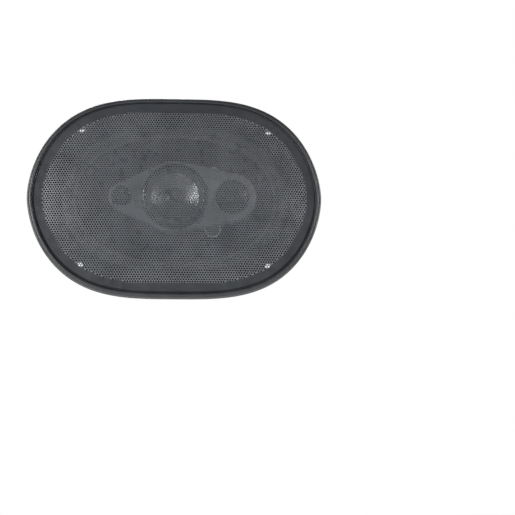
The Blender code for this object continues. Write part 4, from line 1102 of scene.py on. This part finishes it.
def make_pod():
    """A smooth outline round three drivers, with a pocket for each."""
    tweeter_x, super_x = middle_x(TWEETER_LOW, TWEETER_HIGH), middle_x(SUPER_LOW, SUPER_HIGH)
    tweeter_reach, super_reach = POD_HIGH.x - tweeter_x, super_x - POD_LOW.x
    outline = hull_loop([(super_x, super_reach), (0, MID_RADIUS), (tweeter_x, tweeter_reach)], 300)
    front, back = POD_LOW.y, POD_HIGH.y
    pockets = [(0, MID_HIGH.x + 0.3 * MM), (tweeter_x, TWEETER_HIGH.x - tweeter_x + 0.3 * MM),
               (super_x, SUPER_HIGH.x - super_x + 0.3 * MM)]
    rows = []
    for inset, y in ((2.2, back), (0.8, back - 0.4 * MM), (0.1, back - 1.6 * MM), (0, back - 3 * MM),
                     (0, front + 3.4 * MM), (0.15, front + 1.8 * MM), (0.7, front + 0.7 * MM),
                     (1.6, front + 0.12 * MM), (2.6, front)):
        loop = offset_outline(outline, -inset * MM)
        rows.append(raised(loop, y))
    parts = [strip(rows)]
    holes = [ring_outline((x, 0), r + 0.5 * MM, 120) for x, r in pockets]
    flat, faces = flat_sheet(rows[-1][:, [0, 2]], holes)
    parts.append((raised(flat, front), faces))
    floor = back - 2 * MM
    for x, r in pockets:
        rings = [circle(radius, y, (x, 0), 120) for radius, y in
                 ((r + 0.5 * MM, front), (r, front + 0.5 * MM), (r, floor), (0, floor))]
        parts.append(strip(rings))
    bottom = rows[0]
    parts.append(strip([bottom, bottom * (0, 1, 0)]))
    return add("tweeter_pod_shell", *joined(parts), "pod_plastic", "frame", ["tweeter_pod"], angle=45)


def make_midrange():
    """The middle driver: a dark dished frame with a fine bright lip, a glossy cone, its roll and its cap."""
    radius, back, front = MID_HIGH.x, MID_HIGH.y, MID_LOW.y
    trim_low, trim_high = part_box("midrange_trim")
    dish = [(9 * MM, back), (radius, back), (radius, front), (radius - 3 * MM, front),
            (radius - 4 * MM, front + MM), (radius - 6 * MM, back - MM), (9 * MM, back - MM)]
    turned("midrange_frame_dish", dish, "black_plastic", "frame", ["midrange_frame"], segments=144)
    outer, top, bottom = trim_high.x, trim_low.y, trim_high.y
    lip = [(outer - 3.2 * MM, bottom), (outer, bottom), (outer - 0.5 * MM, top + 0.6 * MM),
           (outer - 2.2 * MM, top + 0.1 * MM), (outer - 3.6 * MM, top), (outer - 4.2 * MM, top + 0.5 * MM)]
    trim = turned("midrange_trim_ring", lip, "gloss_plastic", "frame", ["midrange_trim"], segments=144,
                  edge=0.25 * MM, slot="black_plastic")
    paint(trim, "bright_trim", lambda face: hypot(face.center.x, face.center.z) < outer - 3.45 * MM)
    cone_low, cone_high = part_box("midrange_cone")
    cap_low, cap_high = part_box("midrange_dust_cap")
    neck, rim = cap_high.x + 0.3 * MM, cone_high.x
    depth = cone_high.y - cone_low.y - 0.5 * MM
    profile = []
    for t in np.linspace(0, 1, 14):
        profile.append((neck + (rim - neck) * t, cone_high.y - 0.5 * MM - depth * t ** 1.15))
    back_side = [(r, y + 0.5 * MM) for r, y in profile[::-1]]
    rings = [circle(r, y, segments=144) for r, y in profile + back_side]
    loft("midrange_cone_film", rings, "cone_film", "midrange", ["midrange_cone"], slot="dome_film")
    edge_y = cap_high.y - 0.4 * MM
    dome = [(0, cap_high.y), (cap_high.x, cap_high.y), (cap_high.x, edge_y)]
    for t in np.linspace(0, pi / 2, 12)[1:]:
        dome.append((cap_high.x * cos(t), edge_y - (edge_y - cap_low.y) * sin(t)))
    rings = [circle(max(r, 0), y, segments=96) for r, y in dome]
    loft("midrange_cap_film", rings, "dome_film", "midrange", ["midrange_dust_cap"], closed=False)
    low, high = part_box("midrange_surround")
    sheet, inner, outer = 0.5 * MM, rim + 0.35 * MM, high.x
    land, height = high.y, high.y - low.y - sheet
    turn = np.linspace(0, pi, 14)
    roll = [(inner + (outer - inner) * (1 - cos(t)) / 2, land - height * sin(t)) for t in turn]
    rings = [circle(r, y, segments=144) for r, y in roll + [(r, y - sheet) for r, y in roll[::-1]]]
    ring = loft("midrange_roll", rings, "surround_rubber", None, ["midrange_surround"])
    weigh(ring, lambda x, y, z: 1 - (hypot(x, z) - inner) / (outer - inner))


def make_small_driver(prefix):
    """A dome driver: a dished housing with a fine rim, a magnet behind it and a dome in its throat."""
    low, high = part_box(f"{prefix}_housing")
    dome_low, dome_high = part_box(f"{prefix}_dome")
    x = middle_x(low, high)
    radius, dome_radius = high.x - x, dome_high.x - x
    throat = dome_radius + 1.2 * MM
    front, floor = low.y + 0.6 * MM, high.y
    bottom = front + 4.4 * MM
    dish = [(throat, bottom), (throat + MM, bottom), (radius - MM, front + 3 * MM), (radius - MM, floor),
            (radius, floor), (radius, front), (radius - 0.5 * MM, front - 0.5 * MM),
            (radius - 1.2 * MM, front - 0.6 * MM), (radius - 1.9 * MM, front - 0.2 * MM),
            (radius - 2.3 * MM, front + 0.5 * MM), (throat, bottom - 1.4 * MM)]
    turned(f"{prefix}_housing_dish", dish, "gloss_plastic", "frame", [f"{prefix}_housing"], (x, 0), 0.25 * MM,
           120, slot="black_plastic")
    restyle(f"{prefix}_magnet", "ferrite")
    height = dome_high.y - dome_low.y
    profile = [(0, dome_high.y), (dome_radius, dome_high.y), (dome_radius, dome_high.y - 0.4 * MM),
               (dome_radius * 0.95, dome_high.y - 0.75 * MM), (dome_radius * 0.9, dome_high.y - 0.5 * MM)]
    for t in np.linspace(0, pi / 2, 12)[1:]:
        profile.append((dome_radius * 0.9 * cos(t), dome_high.y - 0.5 * MM - (height - 0.5 * MM) * sin(t)))
    rings = [circle(max(r, 0), y, (x, 0), 96) for r, y in profile]
    loft(f"{prefix}_dome_film", rings, "dome_film", prefix, [f"{prefix}_dome"], closed=False)


def make_post():
    low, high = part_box("centre_post")
    pod_back = POD_HIGH.y + 0.3 * MM
    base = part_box("top_plate")[0].y - 0.3 * MM
    foot, neck, shank, tail = high.x, 7 * MM, 3.7 * MM, 4.7 * MM
    profile = [(0, low.y), (shank - 0.4 * MM, low.y), (shank, low.y + 0.4 * MM), (shank, pod_back),
               (neck, pod_back), (neck, base - 8 * MM), (foot - 2 * MM, base - 4.4 * MM),
               (foot, base - 3 * MM), (foot, base), (tail, base), (tail, high.y), (0, high.y)]
    turned("centre_post_turned", profile, "zinc_steel", "frame", ["centre_post"])
    restyle("post_nut", "zinc_steel")
    for word in ("high", "mid"):
        node = f"pod_capacitor_{word}"
        low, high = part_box(node)
        centre = ((low.x + high.x) / 2, (low.y + high.y) / 2)
        radius, bottom, top = (high.x - low.x) / 2, low.z, high.z
        outline = [(0, bottom), (radius - 0.8 * MM, bottom), (radius, bottom + 0.8 * MM),
                   (radius, bottom + 2 * MM), (radius - 0.5 * MM, bottom + 2.6 * MM),
                   (radius, bottom + 3.2 * MM), (radius, top - 0.4 * MM), (radius - 0.4 * MM, top),
                   (radius - 1.2 * MM, top - 0.2 * MM), (0, top - 0.2 * MM)]
        rings = []
        for r, z in fillet(outline, 0.25 * MM, False, 2):
            rings.append(circle(r, z, centre, 64)[:, [0, 2, 1]])  # turned round Z
        loft(f"{node}_sleeve", rings, "capacitor_sleeve", "frame", [node], closed=False)


# ---------------------------------------------------------------- terminals and leads

def make_terminals():
    low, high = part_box("terminal_board")
    board = rounded_outline([(low.x, low.z), (high.x, low.z), (high.x, high.z), (low.x, high.z)], 1.2 * MM, 4)
    plate("terminal_board_plate", board, [rivet_hole()], low.y, high.y, "phenolic", "frame",
          ["terminal_board"])
    for node in ("terminal_wide", "terminal_narrow"):
        low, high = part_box(node)
        nose, middle, width = 1.5 * MM, (low.z + high.z) / 2, high.z - low.z
        blade = [(low.x, low.z), (high.x - nose, low.z), (high.x, low.z + nose / 2),
                 (high.x, high.z - nose / 2), (high.x - nose, high.z), (low.x, high.z)]
        holes = [ring_outline((high.x - 4.5 * MM, middle), 0.9 * MM),
                 ring_outline((low.x + 3.4 * MM, middle), width * 0.16)]
        plate(f"{node}_spade", rounded_outline(blade, 0.4 * MM, 2), holes, low.y, high.y, "tinned_brass",
              "frame", [node], bevel=0.2 * MM)
    low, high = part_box("terminal_rivet")
    head = high.x - RIVET_X
    shank = [(0, low.y), (head * 0.55, low.y + 0.05 * MM), (head * 0.9, low.y + 0.4 * MM),
             (head, low.y + 0.95 * MM), (RIVET_RADIUS, low.y + MM), (RIVET_RADIUS, high.y - MM),
             (head, high.y - 0.95 * MM), (head * 0.9, high.y - 0.4 * MM), (head * 0.55, high.y - 0.05 * MM),
             (0, high.y)]
    turned("terminal_rivet_head", shank, "tinned_brass", "frame", ["terminal_rivet"], (RIVET_X, 0), 0.2 * MM,
           48)


def smooth_route(route, steps):
    """Points of a Catmull-Rom curve through the route."""
    knots = [Vector(p) for p in route]
    knots = [2 * knots[0] - knots[1]] + knots + [2 * knots[-1] - knots[-2]]
    points = []
    for a, b, c, d in zip(knots, knots[1:], knots[2:], knots[3:]):
        for t in np.linspace(0, 1, steps, endpoint=False):
            square, cube = 2 * a - 5 * b + 4 * c - d, 3 * b - a - 3 * c + d
            points.append(0.5 * (2 * b + (c - a) * t + square * t * t + cube * t ** 3))
    points.append(knots[-2])
    return points


def make_lead(word, sign):
    """A tinsel lead: four strands twisted round each other, held at the board and at the cone."""
    node = f"tinsel_lead_{word}"
    board_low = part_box("terminal_board")[0]
    anchor_low, anchor_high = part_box(f"lead_anchor_{word}")
    anchor_x, anchor_z = (anchor_low.x + anchor_high.x) / 2, (anchor_low.z + anchor_high.z) / 2
    radius = 0.8 * MM
    board_x, start = board_low.x, board_low.y - 0.3 * MM - radius * 1.1
    end = cone_back_y(anchor_x, anchor_z) + 0.3 * MM + radius * 1.3
    route = [
        (board_x + 8 * MM, start, sign * 10 * MM),
        (board_x + 11 * MM, start - 1.5 * MM, sign * 11.5 * MM),
        (board_x + 10.5 * MM, start - 7 * MM, sign * 14 * MM),
        (board_x + 4 * MM, start - 10.5 * MM, sign * 17.5 * MM),
        (board_x - 6 * MM, start - 11 * MM, sign * 21.5 * MM),
        (anchor_x + 5 * MM, end + 2.2 * MM, sign * 25 * MM),
        (anchor_x, end, anchor_z),
    ]
    points = smooth_route(route, 40)
    rings, travelled, side = [], 0.0, Vector((0, 0, 1))
    shares = []
    for i, point in enumerate(points):
        along = (points[min(i + 1, len(points) - 1)] - points[max(i - 1, 0)]).normalized()
        side = (side - along * side.dot(along)).normalized()
        over = along.cross(side)
        travelled += (point - points[i - 1]).length if i else 0
        ring = []
        for k in range(24):
            a = 2 * pi * k / 24
            reach = radius * (0.86 + 0.14 * abs(cos(2 * (a - travelled * 2 * pi / (7 * MM)))))
            ring.append(tuple(point + (side * cos(a) + over * sin(a)) * reach))
        rings.append(np.array(ring))
        shares.append(travelled)
    lead = loft(node + "_strands", rings, "tinsel", None, [node], closed=False)
    cap_underside(lead.name)
    centres = np.array([tuple(p) for p in points])

    def share(*spot):
        nearest = int(np.argmin(((centres - np.array(spot)) ** 2).sum(1)))
        t = shares[nearest] / travelled
        return t * t * (3 - 2 * t)

    weigh(lead, share)


# ---------------------------------------------------------------- camera, light and floor

CAMERA_DISTANCE = 1.25
VIEW_FROM_BELOW = radians(10)
VIEW_WIDTH = 0.4834  # width of the view at the speaker
AIM_RIGHT = 0.078  # how far to the right of the speaker's middle the camera aims
AIM_DOWN = 0.055
FLOOR_Z = -0.60
FLOOR_REACH = 5.0
FLOOR_GLOW = 0.7  # so that the floor looks white far away too
ROOM_LIGHT = 0.22
LAMPS = (  # name, place, width, height, power in watts
    ("left_front", (-1.2, -1.1, 0.12), 0.6, 1.0, 32),
    ("right_front", (1.2, -1.1, 0.2), 0.3, 1.0, 19),
    ("rear_top", (-0.5, 1.3, 1.3), 1.3, 0.9, 22),
    ("rear_left", (1.5, 0.9, 0.3), 0.5, 1.2, 10),
    ("rear_right", (-1.5, 0.9, 0.2), 0.5, 1.2, 10),
)


def make_stage():
    grille_low, grille_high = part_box("grille_ring")
    middle = Vector((0, (grille_low.y + grille_high.y) / 2, 0))
    towards = Vector((0, -cos(VIEW_FROM_BELOW), -sin(VIEW_FROM_BELOW)))
    right = Vector((1, 0, 0))
    up = right.cross(-towards)
    camera = bpy.data.objects.new("camera", bpy.data.cameras.new("camera"))
    camera.location = middle + towards * CAMERA_DISTANCE
    aim = middle + right * AIM_RIGHT - up * AIM_DOWN
    camera.rotation_euler = (aim - camera.location).to_track_quat("-Z", "Y").to_euler()
    camera.data.angle = 2 * atan(VIEW_WIDTH / 2 / CAMERA_DISTANCE)
    camera.data.dof.use_dof = False
    place(camera)
    bpy.context.scene.camera = camera

    mesh = bpy.data.meshes.new("floor")
    reach = FLOOR_REACH
    mesh.from_pydata([(-reach, -reach, FLOOR_Z), (reach, -reach, FLOOR_Z), (reach, reach, FLOOR_Z),
                      (-reach, reach, FLOOR_Z)],
                     [], [(0, 1, 2, 3)])
    paint = bpy.data.materials.new("floor")
    paint.use_nodes = True
    tree = paint.node_tree
    shader = tree.nodes["Principled BSDF"]
    set_sockets(shader, {"Base Color": (0.9, 0.9, 0.9, 1), "Roughness": 0.8})
    glow = tree.nodes.new("ShaderNodeEmission")
    glow.inputs["Strength"].default_value = FLOOR_GLOW
    path = tree.nodes.new("ShaderNodeLightPath")
    seen = tree.nodes.new("ShaderNodeMixShader")
    both = tree.nodes.new("ShaderNodeAddShader")
    for source, target in (
        (shader.outputs["BSDF"], both.inputs[0]),
        (glow.outputs["Emission"], both.inputs[1]),
        (path.outputs["Is Camera Ray"], seen.inputs["Fac"]),
        (shader.outputs["BSDF"], seen.inputs[1]),
        (both.outputs["Shader"], seen.inputs[2]),
        (seen.outputs["Shader"], tree.nodes["Material Output"].inputs["Surface"]),
    ):
        tree.links.new(source, target)
    mesh.materials.append(paint)
    floor = bpy.data.objects.new("floor", mesh)
    place(floor)
    light_studio()
    bpy.context.scene.view_settings.view_transform = "Standard"


def light_studio():
    """A white backdrop, a dim even room, and soft lamps at the sides, in front and behind."""
    world = bpy.data.worlds.new("studio")
    world.use_nodes = True
    tree = world.node_tree
    room = tree.nodes["Background"]
    set_sockets(room, {"Color": (1, 1, 1, 1), "Strength": ROOM_LIGHT})
    backdrop = tree.nodes.new("ShaderNodeBackground")
    set_sockets(backdrop, {"Color": (1, 1, 1, 1), "Strength": 1.0})
    path = tree.nodes.new("ShaderNodeLightPath")
    mix = tree.nodes.new("ShaderNodeMixShader")
    tree.links.new(path.outputs["Is Camera Ray"], mix.inputs["Fac"])
    tree.links.new(room.outputs["Background"], mix.inputs[1])
    tree.links.new(backdrop.outputs["Background"], mix.inputs[2])
    tree.links.new(mix.outputs["Shader"], tree.nodes["World Output"].inputs["Surface"])
    bpy.context.scene.world = world
    for name, spot, width, height, power in LAMPS:
        light = bpy.data.lights.new(name, "AREA")
        light.shape = "RECTANGLE"
        light.size = width
        light.size_y = height
        light.energy = power
        lamp = bpy.data.objects.new(name, light)
        lamp.location = spot
        lamp.rotation_euler = (-Vector(spot)).to_track_quat("-Z", "Y").to_euler()
        lamp.visible_camera = False
        place(lamp)


# ---------------------------------------------------------------- the speaker

make_stage()
make_mesh()
make_grille_ring()
make_front_ring()
make_basket()
make_boot()
make_label()
for hidden, finish_name in (("top_plate", "zinc_steel"), ("yoke", "zinc_steel"), ("magnet", "ferrite"),
                            ("midrange_magnet", "ferrite")):
    restyle(hidden, finish_name)
make_cone()
make_surround()
make_spider()
make_voice_coil()
make_lead_anchors()
make_pod()
make_midrange()
make_small_driver("tweeter")
make_small_driver("supertweeter")
make_post()
make_terminals()
make_lead("upper", 1)
make_lead("lower", -1)
